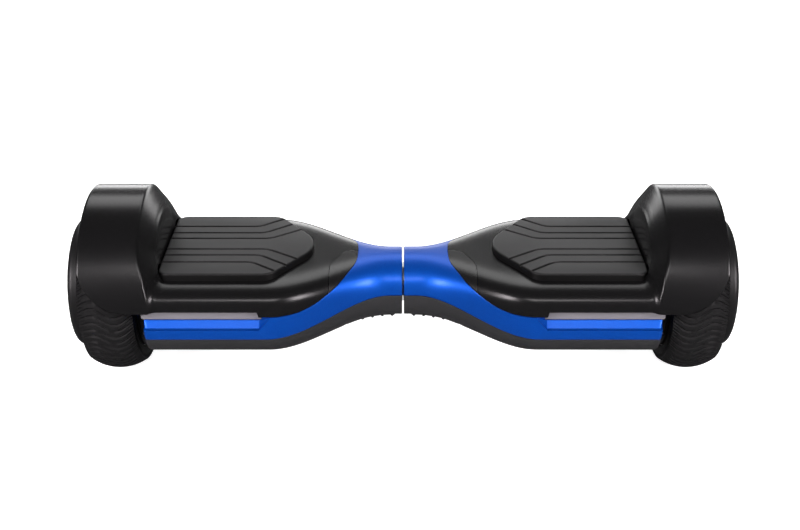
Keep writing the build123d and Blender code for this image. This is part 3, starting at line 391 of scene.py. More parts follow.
def seam_height(x, side):
    """The edge of the upper shell (side 1) or of the band (side -1); the gap narrows at the tip."""
    gap = SEAM / 2 * (0.35 + 0.65 * float(smooth_step((x - 43) / 10)))
    return smooth_line(x, TOP_SEAM_LINE) + side * gap


def top_edge_height(x):
    """The upper shell's lower edge: the seam, the notch over the light, the arch's rounded corner."""
    if x <= NOTCH_START:
        return seam_height(x, 1)
    share = float(smooth_step((x - NOTCH_START) / 1.6))
    edge = (TOP_SEAM + SEAM / 2) * (1 - share) + NOTCH_TOP * share
    if x > RIM_START:
        radius = ARCH_OUTER_X - RIM_START
        edge += radius - sqrt(max(0.0, radius**2 - (x - RIM_START) ** 2))
    return edge


def top_inside(x, angles, outer):
    """The hollow under the deck, the end wall round the axle, then the wheel's space."""
    if x < DECK_END - WALL:
        return outer - np.minimum(WALL, 0.45 * outer)
    if x < DECK_END:
        return np.full_like(outer, AXLE_HOLE)
    wheel_space = ARCH_RADIUS - WALL - max(0.0, DECK_END + 10 - x) * 1.2
    return np.minimum(np.full_like(outer, wheel_space), outer - 2.4)


def stations(*spans):
    """x places in runs of (start, end, step)."""
    places = []
    for start, end, step in spans:
        places += list(np.arange(start, end - 1e-6, step))
    return places + [spans[-1][1]]


def top_shell_rows():
    near_tip = [TIP_X + (60 - TIP_X) * (i / 16) ** 2 for i in range(16)]
    places = near_tip + stations(
        (60, 129, 3), (129, 131.4, 1.2), (131.5, 133.4, 0.2), (133.5, 222, 3), (222, 235, 0.75),
        (235.25, 238, 0.75), (238.25, 247, 0.75), (247, 288, 3), (288, ARCH_OUTER_X - 0.4, 1),
        (ARCH_OUTER_X - 0.25, ARCH_OUTER_X, 0.25))
    rows = []
    for x in places:
        reach = angle_at(x, top_edge_height(x), top_radius)
        angles = np.linspace(-max(reach, 0.002), max(reach, 0.002), TOP_POINTS)
        radii = top_radius(x, angles)
        rows.append(walled_row(x, on_section(angles, radii),
                               on_section(angles, top_inside(x, angles, radii)), 0.7))
    return rows


PAD_LOW, PAD_HIGH = (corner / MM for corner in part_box("foot_pad_right"))
PAD_END_X, PAD_DEPTH, PAD_TOP = PAD_HIGH
PAD_TIP_X, PAD_TIP_HALF, PAD_TAPER_X = 86.5, 14.0, 122.0


def pad_outline(grow):
    """The foot pad's plan: square at the wheel, tapering to a broad nose at the neck."""
    tip_x, tip_half = PAD_TIP_X - grow, PAD_TIP_HALF + 0.5 * grow
    taper_x = PAD_TAPER_X - 0.4 * grow
    end_x, depth = PAD_END_X + grow, PAD_DEPTH + grow
    corners = [(end_x, -depth), (end_x, depth), (taper_x, depth), (tip_x, tip_half),
               (tip_x, -tip_half), (taper_x, -depth)]
    return rounded_outline(corners, (10, 10, 18, 38, 38, 18))


WINDOW_LINE = ((34, 3.5), (50, 2.0), (57.5, -2.5), (62, -13), (67, -25), (69.2, -33))
LENS_PLAN = [*WINDOW_LINE, (69.2, -62), (34, -62)]


def grown(outline, grow):
    """A plan outline pushed out from its middle by about the given amount."""
    middle = np.mean(outline, axis=0)
    return [(x + grow * np.sign(x - middle[0]), y + grow * np.sign(y - middle[1]))
            for x, y in outline]


SIDES = (("left", -1), ("right", 1))
top_points, top_faces = shell_mesh(top_shell_rows(), TOP_POINTS)
for name, side in SIDES:
    shell = add_piece(f"upper_shell_{name}", top_points, top_faces, black_shell, f"{name}_half", side,
                      [f"top_shell_{name}"])
    cut(shell, *prism(pad_outline(0.5), 60, 160), side)
    cut(shell, *prism(grown(LENS_PLAN, 0.26), 90, 150), side)

# --- Pad trays -------------------------------------------------------------------------------
# The recess that the rubber pad drops into is part of the same moulding: a floor and a low wall
# under the deck, in the same black plastic.
TRAY_FLOOR = 113.0
for name, side in SIDES:
    inside, outside = pad_outline(0.5), pad_outline(2.4)
    count = len(inside)
    levels = [(outside, 115.8), (inside, 115.8), (inside, TRAY_FLOOR)]
    points = [(x * MM, y * MM, z * MM) for ring, z in levels for x, y in ring]
    points += [(x * MM, y * MM, (TRAY_FLOOR - 2.5) * MM) for x, y in outside]
    faces = []
    for level in range(2):
        for i in range(count):
            j = (i + 1) % count
            faces.append((level * count + i, level * count + j, (level + 1) * count + j,
                          (level + 1) * count + i))
    faces.append(tuple(range(2 * count, 3 * count)))
    faces.append(tuple(range(3 * count, 4 * count))[::-1])
    faces += [(i, 3 * count + i, 3 * count + (i + 1) % count, (i + 1) % count) for i in range(count)]
    tray = add_piece(f"pad_tray_{name}", points, faces, black_shell, f"{name}_half", side)
    for x in (130, 180):
        hole = [(x + 8 * cos(a), 8 * sin(a)) for a in np.linspace(0, 2 * pi, 33)[:-1]]
        cut(tray, *prism(hole, 100, 114), side)

# --- Front windows ---------------------------------------------------------------------------
# A small window in smoked plastic completes the tip of each upper shell at the front. It is
# flush with the shell and shows only as a fine seam.
smoked = moulded_plastic("smoked_window", (0.0050, 0.0050, 0.0052), 0.27, 0.06, 3000, gleam=0.24)
WINDOW_POINTS = 41


def window_rows():
    """From the plan line that bounds the window down to the seam, a little inside both."""
    near_tip = [TIP_X + (60 - TIP_X) * (i / 16) ** 2 for i in range(2, 16)]
    line_x, line_y = zip(*WINDOW_LINE)
    rows = []
    for x in near_tip + stations((60, 69.0, 1)):
        reach = angle_at(x, seam_height(x, 1), skin_radius)
        tries = np.linspace(-reach, reach, 400)
        depth = -skin_radius(x, tries) * np.sin(tries)
        edge = np.interp(x, line_x, line_y) - 0.2
        top = max(-reach, float(np.interp(edge, depth[::-1], tries[::-1])))
        angles = np.linspace(top, reach, WINDOW_POINTS)
        radii = skin_radius(x, angles)
        rows.append(walled_row(x, on_section(angles, radii - 0.05), on_section(angles, radii - 2.6),
                               0.3))
    return rows


window_points, window_faces = shell_mesh(window_rows(), WINDOW_POINTS)
for name, side in SIDES:
    window = add_piece(f"front_window_{name}", window_points, window_faces, smoked, f"{name}_half",
                       side, [f"indicator_lens_{name}"])

# --- Side bands ------------------------------------------------------------------------------
# The coloured band is an ABS moulding in blue metallic lacquer with a clear coat. It forms the
# top of the neck and a strip down each side, where a long trough holds the light bar.
LEDGE_RISE = 7.0
TROUGH_BACK = 79.4
TROUGH_LIP = AXLE - 5.5
TROUGH_START, TROUGH_FULL = 121.0, 132.0
END_ROUND = 3.5
BAND_END = 0.9
NECK_HOLE = 22.6  # the end walls' hole round the central tube
BELOW_LIP, LEDGE_STEPS, BACK_STEPS = 14, 8, 8


def parting_height(x):
    share = float(smooth_step((x - FLARE_START) / (FLARE_END - FLARE_START)))
    return (AXLE + 2.5) * (1 - share) + PARTING * share


def end_rounding(x):
    into = max(0.0, x - (DECK_END - END_ROUND))
    return END_ROUND - sqrt(max(0.0, END_ROUND**2 - into**2))


def wall_inside(x, outer):
    """The inside of a lower wall: end walls at the neck and at the wheel, 3 mm thick."""
    if x < NECK_END + WALL:
        return np.full_like(outer, NECK_HOLE)
    if x > DECK_END - WALL:
        return np.full_like(outer, AXLE_HOLE)
    return outer - WALL


def runs(*marks):
    """Evenly spaced values through several marks, each (value, steps from the one before)."""
    values = [marks[0]]
    for value, steps in marks[1:]:
        values += list(np.linspace(values[-1], value, steps + 1)[1:])
    return np.array(values)


def band_row(x):
    """The front strip: up from the parting to the trough's lip, its ledge, its back and its top."""
    seam = seam_height(x, -1)
    low = angle_at(x, parting_height(x) + SEAM / 2, skin_radius)
    high = angle_at(x, seam, skin_radius)
    near = float(smooth_step((x - 80) / (TROUGH_START - 80)))
    squeeze = 0.5 + 0.48 * near
    angles = low + (high - low) * runs(0.0, (squeeze, BELOW_LIP - 1),
                                       (squeeze + 0.5 * (1 - squeeze), LEDGE_STEPS), (1.0, BACK_STEPS))
    radii = skin_radius(x, angles) - end_rounding(x)
    points = on_section(angles, radii)
    inner = on_section(angles, wall_inside(x, radii))
    if x > TROUGH_START:
        depth = min(1.0, (x - TROUGH_START) / (TROUGH_FULL - TROUGH_START))
        top_y = -90.0 + (90.0 - TROUGH_BACK) * depth
        top_z = seam + (NOTCH_TOP - SEAM - seam) * float(smooth_step((x - NOTCH_START) / 1.6))
        lip_z = seam - 0.25 - (seam - 0.25 - TROUGH_LIP) * depth
        lip = angle_at(x, lip_z, skin_radius)
        corner_z = lip_z + LEDGE_RISE * depth + 0.1
        below = runs(low, (lip, BELOW_LIP - 1))
        radii = skin_radius(x, below) - end_rounding(x)
        skin_part = on_section(below, radii)
        lip_y = skin_part[-1, 0]
        step_y, brow_y = lip_y + 3.4 * depth, top_y - 2.3 * depth
        ledge = np.column_stack([
            runs(lip_y, (step_y, 2), (brow_y, 4), (top_y, 2))[1:],
            runs(skin_part[-1, 1], (lip_z + 0.7 * depth, 2), (corner_z - 0.3 * depth, 4),
                 (corner_z, 2))[1:]])
        back = np.column_stack([np.full(BACK_STEPS, top_y),
                                np.linspace(corner_z, top_z, BACK_STEPS + 1)[1:]])
        points = np.concatenate([skin_part, ledge, back])
        if x <= DECK_END - WALL:
            share = min(1.0, (x - TROUGH_START) / 4)
            inner_low = on_section(below, radii - WALL)
            inner_low[:, 1] = np.minimum(inner_low[:, 1], lip_z - 2.2 * share + 3 * (1 - share))
            ledge_in = ledge + np.array([1.4, -2.6]) * share + np.array([2.8, 0]) * (1 - share)
            back_in = back + np.array([WALL, 0])
            inner = np.concatenate([inner_low, ledge_in, back_in])
        else:
            turn = np.arctan2(-points[:, 0], points[:, 1] - AXLE)
            inner = on_section(turn, np.full(len(points), AXLE_HOLE))
    return points, inner


band_places = ([BAND_END, BAND_END + 0.3] + stations((2.0, 4.0, 0.8), (4.4, 40, 2.4))
               + [TIP_X - 0.4 + (60 - TIP_X) * (i / 16) ** 2 for i in range(16)]
               + stations((60, 120, 3), (120, 121.2, 0.4), (121.5, 134, 0.5), (134, 233, 4),
                          (233.5, DECK_END - WALL - 0.1, 0.45),
                          (DECK_END - WALL + 0.2, DECK_END, 0.4)))
TIP_ROW = sum(1 for x in band_places if x <= TIP_X - 0.35) - 1


def band_mesh():
    """Both strips; they're one skin over the crown of the neck."""
    front = []
    for i, x in enumerate(band_places):
        points, inner = band_row(x)
        inset = 0.6 if i == 0 else 0.15 if i == 1 else 0.0
        middle = np.array([0, AXLE])
        points = middle + (points - middle) * (1 - inset / 32)
        front.append(walled_row(x, points, inner, 0.6, 0.0 if i <= TIP_ROW else None))
    rear = [row * (1, -1, 1) for row in front]
    count = len(band_row(60)[0])
    first, faces = shell_mesh(front, count, TIP_ROW)
    second, _ = shell_mesh(rear, count, TIP_ROW)
    rear_faces = [tuple(i + len(first) for i in face[::-1]) for face in faces]
    return np.concatenate([first, second]), faces + rear_faces


def flake_lacquer(name, colour, deep):
    """Metallic lacquer: fine aluminium flakes under colour, with a clear coat over them."""
    material = bpy.data.materials.new(name)
    material.use_nodes = True
    tree = material.node_tree
    shader = tree.nodes["Principled BSDF"]
    shader.inputs["Metallic"].default_value = 0.60
    shader.inputs["Specular IOR Level"].default_value = 0.15
    shader.inputs["Coat Weight"].default_value = 0.10
    shader.inputs["Coat Roughness"].default_value = 0.20
    place = tree.nodes.new("ShaderNodeTexCoord")
    flakes = tree.nodes.new("ShaderNodeTexVoronoi")
    flakes.inputs["Scale"].default_value = 2600
    tree.links.new(place.outputs["Object"], flakes.inputs["Vector"])
    tone = tree.nodes.new("ShaderNodeMix")
    tone.data_type = "RGBA"
    tone.inputs["A"].default_value = (*deep, 1)
    tone.inputs["B"].default_value = (*colour, 1)
    tree.links.new(flakes.outputs["Color"], tone.inputs["Factor"])
    tree.links.new(tone.outputs["Result"], shader.inputs["Base Color"])
    sparkle = tree.nodes.new("ShaderNodeMapRange")
    sparkle.inputs["To Min"].default_value, sparkle.inputs["To Max"].default_value = 0.36, 0.48
    tree.links.new(flakes.outputs["Distance"], sparkle.inputs["Value"])
    tree.links.new(sparkle.outputs["Result"], shader.inputs["Roughness"])
    orange_peel = tree.nodes.new("ShaderNodeTexNoise")
    orange_peel.inputs["Scale"].default_value = 420
    tree.links.new(place.outputs["Object"], orange_peel.inputs["Vector"])
    bump = tree.nodes.new("ShaderNodeBump")
    bump.inputs["Strength"].default_value = 0.05
    bump.inputs["Distance"].default_value = 0.0002
    tree.links.new(orange_peel.outputs["Fac"], bump.inputs["Height"])
    tree.links.new(bump.outputs["Normal"], shader.inputs["Normal"])
    return material


blue_lacquer = flake_lacquer("blue_lacquer", (0.0007, 0.063, 0.365), (0.0003, 0.043, 0.28))
band_points, band_faces = band_mesh()
for name, side in SIDES:
    band = add_piece(f"blue_band_{name}", band_points, band_faces, blue_lacquer, f"{name}_half", side,
                     [f"side_band_{name}"], weld=2e-6)

# --- Lower shells ----------------------------------------------------------------------------
# The lower shell is a dark grey moulding with a coarser grain, because it takes the scrapes. Six
# screws go up through its wells, and the left one has holes for the button and the socket.
LOWER_POINTS = 97
dark_shell = moulded_plastic("dark_shell", (0.0130, 0.0132, 0.0142), 0.58, 0.30, 1500, gleam=0.3)


def lower_rows():
    rows = []
    places = ([BAND_END, BAND_END + 0.3] + stations((2.0, 4.0, 0.8), (4.4, 120, 2.4), (120, 233, 4),
              (233.5, DECK_END - WALL - 0.1, 0.45), (DECK_END - WALL + 0.2, DECK_END, 0.4)))
    for x in places:
        start = angle_at(x, parting_height(x) - SEAM / 2, skin_radius)
        angles = np.linspace(start, 2 * pi - start, LOWER_POINTS)
        inset = 0.6 if x == BAND_END else 0.15 if x < BAND_END + 0.4 else 0.0
        radii = skin_radius(x, angles) - end_rounding(x) - inset
        rows.append(walled_row(x, on_section(angles, radii),
                               on_section(angles, wall_inside(x, radii)), 0.6))
    return rows


WELL_RADIUS, WELL_WALL = 4.5, 2.0
DECK_WELLS = [(x, y, AXLE - 24) for x in (FLARE_END + 5, DECK_END - 13) for y in (-62, 62)]
NECK_WELLS = [(55, -36, AXLE - 18), (55, 36, AXLE - 18)]


def ring(x, y, radius, z, steps=32):
    return [(x + radius * cos(a), y + radius * sin(a), z)
            for a in np.linspace(0, 2 * pi, steps + 1)[:-1]]


def underside(x, y):
    """The height of the board's underside at a plan point."""
    depth = np.linspace(pi / 2, pi, 200)
    radii = skin_radius(x, depth)
    across, heights = radii * np.sin(depth), AXLE + radii * np.cos(depth)
    return float(np.interp(abs(y), across[::-1], heights[::-1]))


def well(x, y, floor):
    """A screw well's tube, open below, with a holed floor at its top."""
    steps, points, faces = 32, [], []
    outline = [(WELL_RADIUS, None), (WELL_RADIUS, floor), (2.05, floor), (2.05, floor + WALL),
               (WELL_RADIUS + WELL_WALL, floor + WALL), (WELL_RADIUS + WELL_WALL, None)]
    for radius, z in outline:
        for px, py, _ in ring(x, y, radius, 0, steps):
            points.append((px * MM, py * MM, (underside(px, py) + 1.4 if z is None else z) * MM))
    for level in range(len(outline)):
        base, above = level * steps, (level + 1) % len(outline) * steps
        faces += [(base + i, base + (i + 1) % steps, above + (i + 1) % steps, above + i)
                  for i in range(steps)]
    return points, faces


def joined(*parts):
    """Several closed forms as one mesh."""
    points, faces = [], []
    for part_points, part_faces in parts:
        start = len(points)
        points += [tuple(p) for p in part_points]
        faces += [tuple(i + start for i in f) for f in part_faces]
    return points, faces


PORT_LOW, PORT_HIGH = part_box("charge_port")
PORT_X, PORT_Y = -(PORT_LOW.x + PORT_HIGH.x) / 2 / MM, (PORT_LOW.y + PORT_HIGH.y) / 2 / MM
lower_points, lower_faces = shell_mesh(lower_rows(), LOWER_POINTS)
for name, side in SIDES:
    lower = add_piece(f"lower_shell_{name}", lower_points, lower_faces, dark_shell, f"{name}_half", side,
                      [f"bottom_shell_{name}"])
    holes = [ring(x, y, WELL_RADIUS, 0) for x, y, _ in DECK_WELLS + NECK_WELLS]
    if side < 0:
        holes += [ring(PORT_X, y, 8.3, 0, 48) for y in (PORT_Y, -PORT_Y)]
    for hole in holes:
        cut(lower, *prism([p[:2] for p in hole], 20, 62), side)
    wells = joined(*[well(*spot) for spot in DECK_WELLS + NECK_WELLS])
    tubes = add_piece(f"screw_wells_{name}", *wells, dark_shell, f"{name}_half", side)

# --- Neck grips ------------------------------------------------------------------------------
# A ribbed rubber pad is glued under each side of the neck, where a hand lifts the board.
grip_rubber = moulded_plastic("grip_rubber", (0.018, 0.018, 0.018), 0.72, 0.35, 1800)
GRIP_START, GRIP_END, GRIP_HALF = 8.0, 44.0, 21.0


def grip_mesh():
    places, heights = [GRIP_START, GRIP_START + 0.5], [0.7, 1.2]
    for rib in (9.4, 18.9, 28.4, 37.9):
        places += [rib - 0.4, rib + 0.2, rib + 2.0, rib + 2.6]
        heights += [1.2, 2.4, 2.4, 1.2]
    places += [GRIP_END - 0.5, GRIP_END]
    heights += [1.2, 0.7]
    rows = []
    for x, height in zip(places, heights):
        depth = np.linspace(pi / 2, pi, 400)
        ys = skin_radius(x, depth) * np.sin(depth)
        reach = pi - float(np.interp(GRIP_HALF, ys[::-1], depth[::-1]))
        angles = pi + np.linspace(-reach, reach, 41)
        shoulder = smooth_step((reach - np.abs(angles - pi)) / reach / 0.12)
        radii = skin_radius(x, angles)
        lift = 0.8 + (height - 0.8) * shoulder
        rows.append(walled_row(x, on_section(angles, radii + lift), on_section(angles, radii + 0.05),
                               0.3))
    return shell_mesh(rows, 41)


grip_points, grip_faces = grip_mesh()
for name, side in SIDES:
    grip = add_piece(f"lift_grip_{name}", grip_points, grip_faces, grip_rubber, f"{name}_half", side,
                     [f"neck_grip_{name}"])

# --- Light bars ------------------------------------------------------------------------------
# A frosted polycarbonate bar closes each trough under the upper shell's edge, front and rear,
# over a strip of white lamps.
BAR_LOW, BAR_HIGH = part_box("light_lenses_right")
bar_plastic = moulded_plastic("frosted_bar", (0.125, 0.121, 0.128), 0.34, 0.05, 900, coat=0.25,
                              speckle=0.04)


def bar_mesh():
    """Rounded lower and upper front edges, and ends cut on the slant."""
    y0, y1 = TROUGH_BACK + 0.15, TROUGH_BACK + 2.7
    z0, z1 = BAR_LOW.z / MM, BAR_HIGH.z / MM
    x0, x1 = TROUGH_FULL + 0.4, BAR_HIGH.x / MM
    outline = [(y0, z0), (y1 - 0.9, z0), (y1 - 0.3, z0 + 0.25), (y1, z0 + 0.9), (y1, z1 - 0.5),
               (y1 - 0.5, z1), (y0, z1)]
    rows = []
    for share in np.linspace(0, 1, 55):
        x = x0 + (x1 - x0) * share
        row = []
        for y, z in outline:
            near_slant, far_slant = -(y - y0) * 0.9, (y - y0) * 0.7 + max(0, z0 + 2.5 - z) * 0.4
            row.append((x0 + near_slant + (x1 - x0 - near_slant - far_slant) * share, -y, z))
        rows.append(row)
    size = len(outline)
    points = [tuple(c * MM for c in p) for row in rows for p in row]
    faces = [(r * size + p, r * size + (p + 1) % size, (r + 1) * size + (p + 1) % size,
              (r + 1) * size + p) for r in range(len(rows) - 1) for p in range(size)]
    faces += [tuple(range(size))[::-1], tuple(range((len(rows) - 1) * size, len(rows) * size))]
    rear = [(x, -y, z) for x, y, z in points]
    return joined((points, faces), (rear, [f[::-1] for f in faces]))


bar_points, bar_faces = bar_mesh()
for name, side in SIDES:
    bar = add_piece(f"light_bar_{name}", bar_points, bar_faces, bar_plastic, f"{name}_half", side,
                    [f"light_lenses_{name}"])

# --- Foot pads -------------------------------------------------------------------------------
# Each pad is a moulded rubber mat with a skirt, loose in its tray so that it can sink a little and
# trip the two switches below. Three bent grooves each side of its middle carry water away.
PAD_SKIRT_LOW = PAD_LOW.z
GROOVES = ((12.0, 129.0, 100.0, 33.0), (25.0, 135.5, 108.0, 47.0), (40.0, 141.5, 119.0, 58.5))
GROOVE_DEPTH = 1.6
pad_rubber = moulded_plastic("pad_rubber", (0.0100, 0.0100, 0.0104), 0.50, 0.30, 1300, gleam=0.2)

# The rubber is darker below the top, in the grooves and down the skirt: painted shade in those hollows.
tree = pad_rubber.node_tree
shader = tree.nodes["Principled BSDF"]
tone = shader.inputs["Base Color"].links[0].from_socket
where = tree.nodes.new("ShaderNodeSeparateXYZ")
place = next(node for node in tree.nodes if node.bl_idname == "ShaderNodeTexCoord")
tree.links.new(place.outputs["Object"], where.inputs["Vector"])
# the painted shade's mask: full shade below the pad's top, none on the top itself
height = tree.nodes.new("ShaderNodeMapRange")
height.inputs["From Min"].default_value = (PAD_TOP - 1.0) * MM
height.inputs["From Max"].default_value = (PAD_TOP - 0.15) * MM
tree.links.new(where.outputs["Z"], height.inputs["Value"])
painted_groove_shade = tree.nodes.new("ShaderNodeMix")
painted_groove_shade.data_type = "RGBA"
# painted shade: the near-black colour given to the grooves and the skirt
painted_groove_shade.inputs["A"].default_value = (0.0012, 0.0012, 0.0012, 1)
tree.links.new(height.outputs["Result"], painted_groove_shade.inputs["Factor"])
tree.links.new(tone, painted_groove_shade.inputs["B"])
tree.links.new(painted_groove_shade.outputs["Result"], shader.inputs["Base Color"])


def pad_body():
    """The mat: rounded along its top edge and hollow below."""
    levels = [(-5.0, 120.5), (-5.0, PAD_SKIRT_LOW), (-0.3, PAD_SKIRT_LOW), (0.0, PAD_SKIRT_LOW + 0.3)]
    levels += [(-1.8 + 1.8 * cos(a), PAD_TOP - 1.8 + 1.8 * sin(a)) for a in np.linspace(0, pi / 2, 6)]
    rings = [[(x * MM, y * MM, z * MM) for x, y in pad_outline(inset)] for inset, z in levels]
    count = len(rings[0])
    points = [p for level in rings for p in level]
    faces = [tuple(range(count))]
    for level in range(len(rings) - 1):
        for i in range(count):
            j = (i + 1) % count
            faces.append((level * count + i, level * count + j, (level + 1) * count + j,
                          (level + 1) * count + i))
    faces.append(tuple(range((len(rings) - 1) * count, len(rings) * count))[::-1])
    return points, faces


def groove_form(depth, bend, tip_x, tip_y, side):
    """One bent groove's cutter: a channel with sloping sides and rounded ends."""
    path = [Vector((PAD_END_X + 3, side * depth)), Vector((bend, side * depth)),
            Vector((tip_x, side * tip_y))]
    path = [path[0], path[1] + (path[0] - path[1]).normalized() * 5, path[1],
            path[1] + (path[2] - path[1]).normalized() * 5, path[2]]
    path[2] = path[2] * 0.5 + (path[1] + path[3]) * 0.25
    rows = []
    for i, here in enumerate(path):
        ahead = (path[min(i + 1, 4)] - path[max(i - 1, 0)]).normalized()
        across = Vector((-ahead.y, ahead.x))
        for offset, z in ((-1.9, PAD_TOP + 1), (-1.65, PAD_TOP - 0.2), (-1.2, PAD_TOP - GROOVE_DEPTH),
                          (1.2, PAD_TOP - GROOVE_DEPTH), (1.65, PAD_TOP - 0.2), (1.9, PAD_TOP + 1)):
            place = here + across * offset
            rows.append((place.x * MM, place.y * MM, z * MM))
    faces = [(r * 6 + p, r * 6 + (p + 1) % 6, (r + 1) * 6 + (p + 1) % 6, (r + 1) * 6 + p)
             for r in range(4) for p in range(6)]
    faces += [(0, 1, 2, 3, 4, 5), (29, 28, 27, 26, 25, 24)]
    return rows, faces


for name, side in SIDES:
    pad = add_piece(f"rubber_pad_{name}", *pad_body(), pad_rubber, f"{name}_pad", side,
                    [f"foot_pad_{name}"])
    cut(pad, *joined(*[groove_form(*groove, lean) for groove in GROOVES for lean in (-1, 1)]), side)

# --- Tyres -----------------------------------------------------------------------------------
# Solid rubber tyres, pressed onto the motor's drum. The tread is cut by S-shaped sipes, and its
# shoulders by short teeth at twice their pitch.
tyre_rubber = moulded_plastic("tyre_rubber", (0.0050, 0.0050, 0.0052), 0.62, 0.40, 1200,
                              speckle=0.25, gleam=0.12)
WHEEL_X = (tyre_low.x + tyre_high.x) / 2 / MM
TYRE_RADIUS = (tyre_high.z - tyre_low.z) / 2 / MM
BEAD_RADIUS = TYRE_RADIUS - 21.5
SIPES, PER_SIPE = 72, 6
TREAD_HALF, TREAD_DROP = 25.0, 8.0
TREAD_LEAN, TREAD_WAVE = 0.055, 42.0  # the sipes' S-shape, in radians, and its length across


def tyre_mesh():
    """Columns lean with the sipes, so that each groove runs along the mesh."""
    crown = (TREAD_HALF**2 + TREAD_DROP**2) / (2 * TREAD_DROP)
    half = np.arcsin(TREAD_HALF / crown)
    profile = [(crown * sin(a), TYRE_RADIUS - crown + crown * cos(a))
               for a in np.linspace(-half, half, 33)]
    wall = [(25.3, 74.6), (25.7, 72.4), (26.0, 69.5), (25.9, 66.5), (25.2, 64.0), (24.2, 62.7),
            (23.0, BEAD_RADIUS)]
    seat = [(x, BEAD_RADIUS) for x in (12, 0, -12)]
    ring_of = profile + wall + seat + [(-x, r) for x, r in wall[::-1]]
    columns = SIPES * PER_SIPE
    points = []
    for i in range(columns):
        phase = i % PER_SIPE
        pair = (i // PER_SIPE) % 2
        for k, (x, radius) in enumerate(ring_of):
            on_tread = k < len(profile)
            across = x if on_tread else np.sign(x) * TREAD_HALF
            lean = TREAD_LEAN * sin(2 * pi * across / TREAD_WAVE)
            depth = 0.0
            if on_tread and phase in (0, 1):
                reaches_middle = (x > -4) if pair else (x < 4)
                depth = 1.5 if abs(x) > 7 or reaches_middle else 0.0
            if on_tread and abs(x) > 19.5 and phase in (3, 4):
                depth = 1.3
            if not on_tread and radius > 71 and phase in (0, 1, 3, 4):
                depth = 1.0
            widen = {0: 0.32, 1: -0.32, 3: 0.32, 4: -0.32}.get(phase, 0.0)
            turn = 2 * pi * (i + widen) / columns + lean
            flat = radius - depth
            sideways = x - np.sign(x) * (0.9 if (not on_tread and depth) else 0.0)
            points.append((WHEEL_X + sideways, flat * sin(turn), AXLE + flat * cos(turn)))
    size = len(ring_of)
    faces = [(c * size + k, c * size + (k + 1) % size,
              (c + 1) % columns * size + (k + 1) % size, (c + 1) % columns * size + k)
             for c in range(columns) for k in range(size)]
    return np.array(points) * MM, faces


tyre_points, tyre_faces = tyre_mesh()
for name, side in SIDES:
    tread = add_piece(f"treaded_tyre_{name}", tyre_points, tyre_faces, tyre_rubber, f"{name}_wheel",
                      side, [f"tyre_{name}"], sharp=40)

# --- Hub caps --------------------------------------------------------------------------------
# A black moulded cap snaps over the motor's outer face. Its rim is rounded, and a shallow dish
# with six low ribs stiffens it.
CAP_LOW, CAP_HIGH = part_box("hub_cap_right")
cap_plastic = moulded_plastic("cap_plastic", (0.0060, 0.0060, 0.0062), 0.40, 0.15, 2200, gleam=0.2)


def cap_mesh():
    start, face = CAP_LOW.x / MM, CAP_HIGH.x / MM
    outer = (CAP_HIGH.z - CAP_LOW.z) / 2 / MM
    profile = [(start, outer - 3), (start, outer), (face - 6, outer)]
    profile += [(face - 5 + 5 * sin(a), outer - 5 + 5 * cos(a)) for a in np.linspace(0, pi / 2, 8)]
    profile += [(face, 50), (face - 0.4, 48.6), (face - 2.2, 45), (face - 2.6, 42), (face - 2.6, 30),
                (face - 2.6, 22), (face - 2.2, 20), (face - 0.8, 18.6), (face - 0.5, 17), (face - 0.5, 6),
                (face - 0.5, 0.01)]
    profile += [(face - 5, 0.01), (face - 5, outer - 7), (face - 6, outer - 3)]
    columns = 144
    points = []
    for i in range(columns):
        turn = 2 * pi * i / columns
        rib = 1.0 if i % 24 in (0, 1, 23) else 0.55 if i % 24 in (2, 22) else 0.0
        for k, (x, radius) in enumerate(profile):
            raised = rib * 1.7 if 12 < k < 18 else 0.0
            points.append((min(x + raised, face), radius * sin(turn), AXLE + radius * cos(turn)))
    size = len(profile)
    faces = [(c * size + k, c * size + (k + 1) % size,
              (c + 1) % columns * size + (k + 1) % size, (c + 1) % columns * size + k)
             for c in range(columns) for k in range(size)]
    return np.array(points) * MM, faces


cap_points, cap_faces = cap_mesh()
for name, side in SIDES:
    cap = add_piece(f"wheel_cap_{name}", cap_points, cap_faces, cap_plastic, f"{name}_wheel", side,
                    [f"hub_cap_{name}"], weld=2e-5)

# --- Frames, motors and fasteners ------------------------------------------------------------
# The cast frames, turned shafts, motor parts and screws keep their machined forms. Each gets the
# metal it is made of, with casting grain, turning marks or lamination lines.


def metal(name, colour, roughness, marks, marks_along=(1, 1, 1), metallic=1.0):
    """Bare or plated metal with fine marks, stretched along one way where it was turned."""
    material = bpy.data.materials.new(name)
    material.use_nodes = True
    tree = material.node_tree
    shader = tree.nodes["Principled BSDF"]
    shader.inputs["Metallic"].default_value = metallic
    place = tree.nodes.new("ShaderNodeTexCoord")
    stretch = tree.nodes.new("ShaderNodeMapping")
    stretch.inputs["Scale"].default_value = marks_along
    tree.links.new(place.outputs["Object"], stretch.inputs["Vector"])
    noise = tree.nodes.new("ShaderNodeTexNoise")
    noise.inputs["Scale"].default_value = marks
    noise.inputs["Detail"].default_value = 5.0
    tree.links.new(stretch.outputs["Vector"], noise.inputs["Vector"])
    gloss = tree.nodes.new("ShaderNodeMapRange")
    gloss.inputs["To Min"].default_value = roughness * 0.7
    gloss.inputs["To Max"].default_value = roughness * 1.3
    tree.links.new(noise.outputs["Fac"], gloss.inputs["Value"])
    tree.links.new(gloss.outputs["Result"], shader.inputs["Roughness"])
    tone = tree.nodes.new("ShaderNodeMix")
    tone.data_type = "RGBA"
    tone.inputs["A"].default_value = (*[c * 0.85 for c in colour], 1)
    tone.inputs["B"].default_value = (*[min(1, c * 1.1) for c in colour], 1)
    tree.links.new(noise.outputs["Fac"], tone.inputs["Factor"])
    tree.links.new(tone.outputs["Result"], shader.inputs["Base Color"])
    bump = tree.nodes.new("ShaderNodeBump")
    bump.inputs["Strength"].default_value = 0.2
    bump.inputs["Distance"].default_value = 0.0002
    tree.links.new(noise.outputs["Fac"], bump.inputs["Height"])
    tree.links.new(bump.outputs["Normal"], shader.inputs["Normal"])
    return material


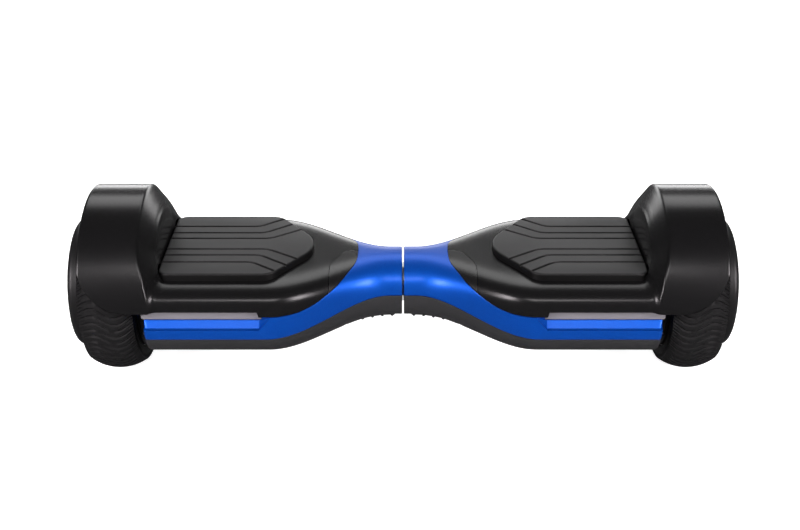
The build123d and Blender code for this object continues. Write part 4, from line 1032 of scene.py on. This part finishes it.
cast_alloy = metal("cast_alloy", (0.55, 0.56, 0.57), 0.5, 700)
turned_steel = metal("turned_steel", (0.56, 0.56, 0.55), 0.28, 400, (6, 1, 1))
black_oxide = metal("black_oxide_steel", (0.06, 0.06, 0.065), 0.42, 900)
laminations = metal("laminated_core", (0.28, 0.28, 0.29), 0.45, 300, (12, 0.2, 0.2))
copper_wire = metal("enamelled_copper", (0.62, 0.26, 0.10), 0.3, 500, (8, 1, 1))
drum_alloy = metal("turned_alloy", (0.62, 0.62, 0.63), 0.32, 350, (8, 1, 1))
nickel = metal("plated_magnet", (0.5, 0.49, 0.47), 0.22, 200)
solder_mask = moulded_plastic("solder_mask", (0.012, 0.10, 0.04), 0.3, 0.1, 600, coat=0.3)
cable_sleeve = moulded_plastic("cable_sleeve", (0.015, 0.015, 0.016), 0.6, 0.3, 900)
bush_plastic = moulded_plastic("bush_plastic", (0.62, 0.60, 0.52), 0.5, 0.1, 900)
shrink_wrap = moulded_plastic("shrink_wrap", (0.02, 0.07, 0.30), 0.25, 0.3, 160, coat=0.3)
soft_silicone = moulded_plastic("soft_silicone", (0.22, 0.22, 0.23), 0.55, 0.1, 900)
port_plastic = moulded_plastic("port_plastic", (0.014, 0.014, 0.014), 0.45, 0.1, 1500)
flap_rubber = moulded_plastic("flap_rubber", (0.02, 0.02, 0.02), 0.7, 0.3, 1500)

FINISHES = {
    "frame": cast_alloy, "axle_clamp": cast_alloy, "axle": turned_steel, "clamp_bolts": black_oxide,
    "stator_core": laminations, "stator_windings": copper_wire, "rotor_drum": drum_alloy,
    "magnet_ring": nickel, "hub_cover": black_oxide, "cover_screws": black_oxide,
    "wheel_bearings": turned_steel, "light_boards": solder_mask, "gyro_board": solder_mask,
    "motor_cable": cable_sleeve, "shell_screws": black_oxide, "pad_plungers": soft_silicone,
    "pivot_tube": black_oxide, "dowel_pins": turned_steel, "pivot_bushes": bush_plastic,
    "retaining_ring": black_oxide, "main_board": solder_mask, "battery_pack": shrink_wrap,
    "link_cables": cable_sleeve, "power_button": port_plastic, "charge_port": port_plastic,
    "charge_cap": flap_rubber,
}
for node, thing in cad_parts.items():
    kind = node.replace("_left", "").replace("_right", "")
    if kind in FINISHES:
        for place in thing.material_slots:
            place.material = FINISHES[kind]
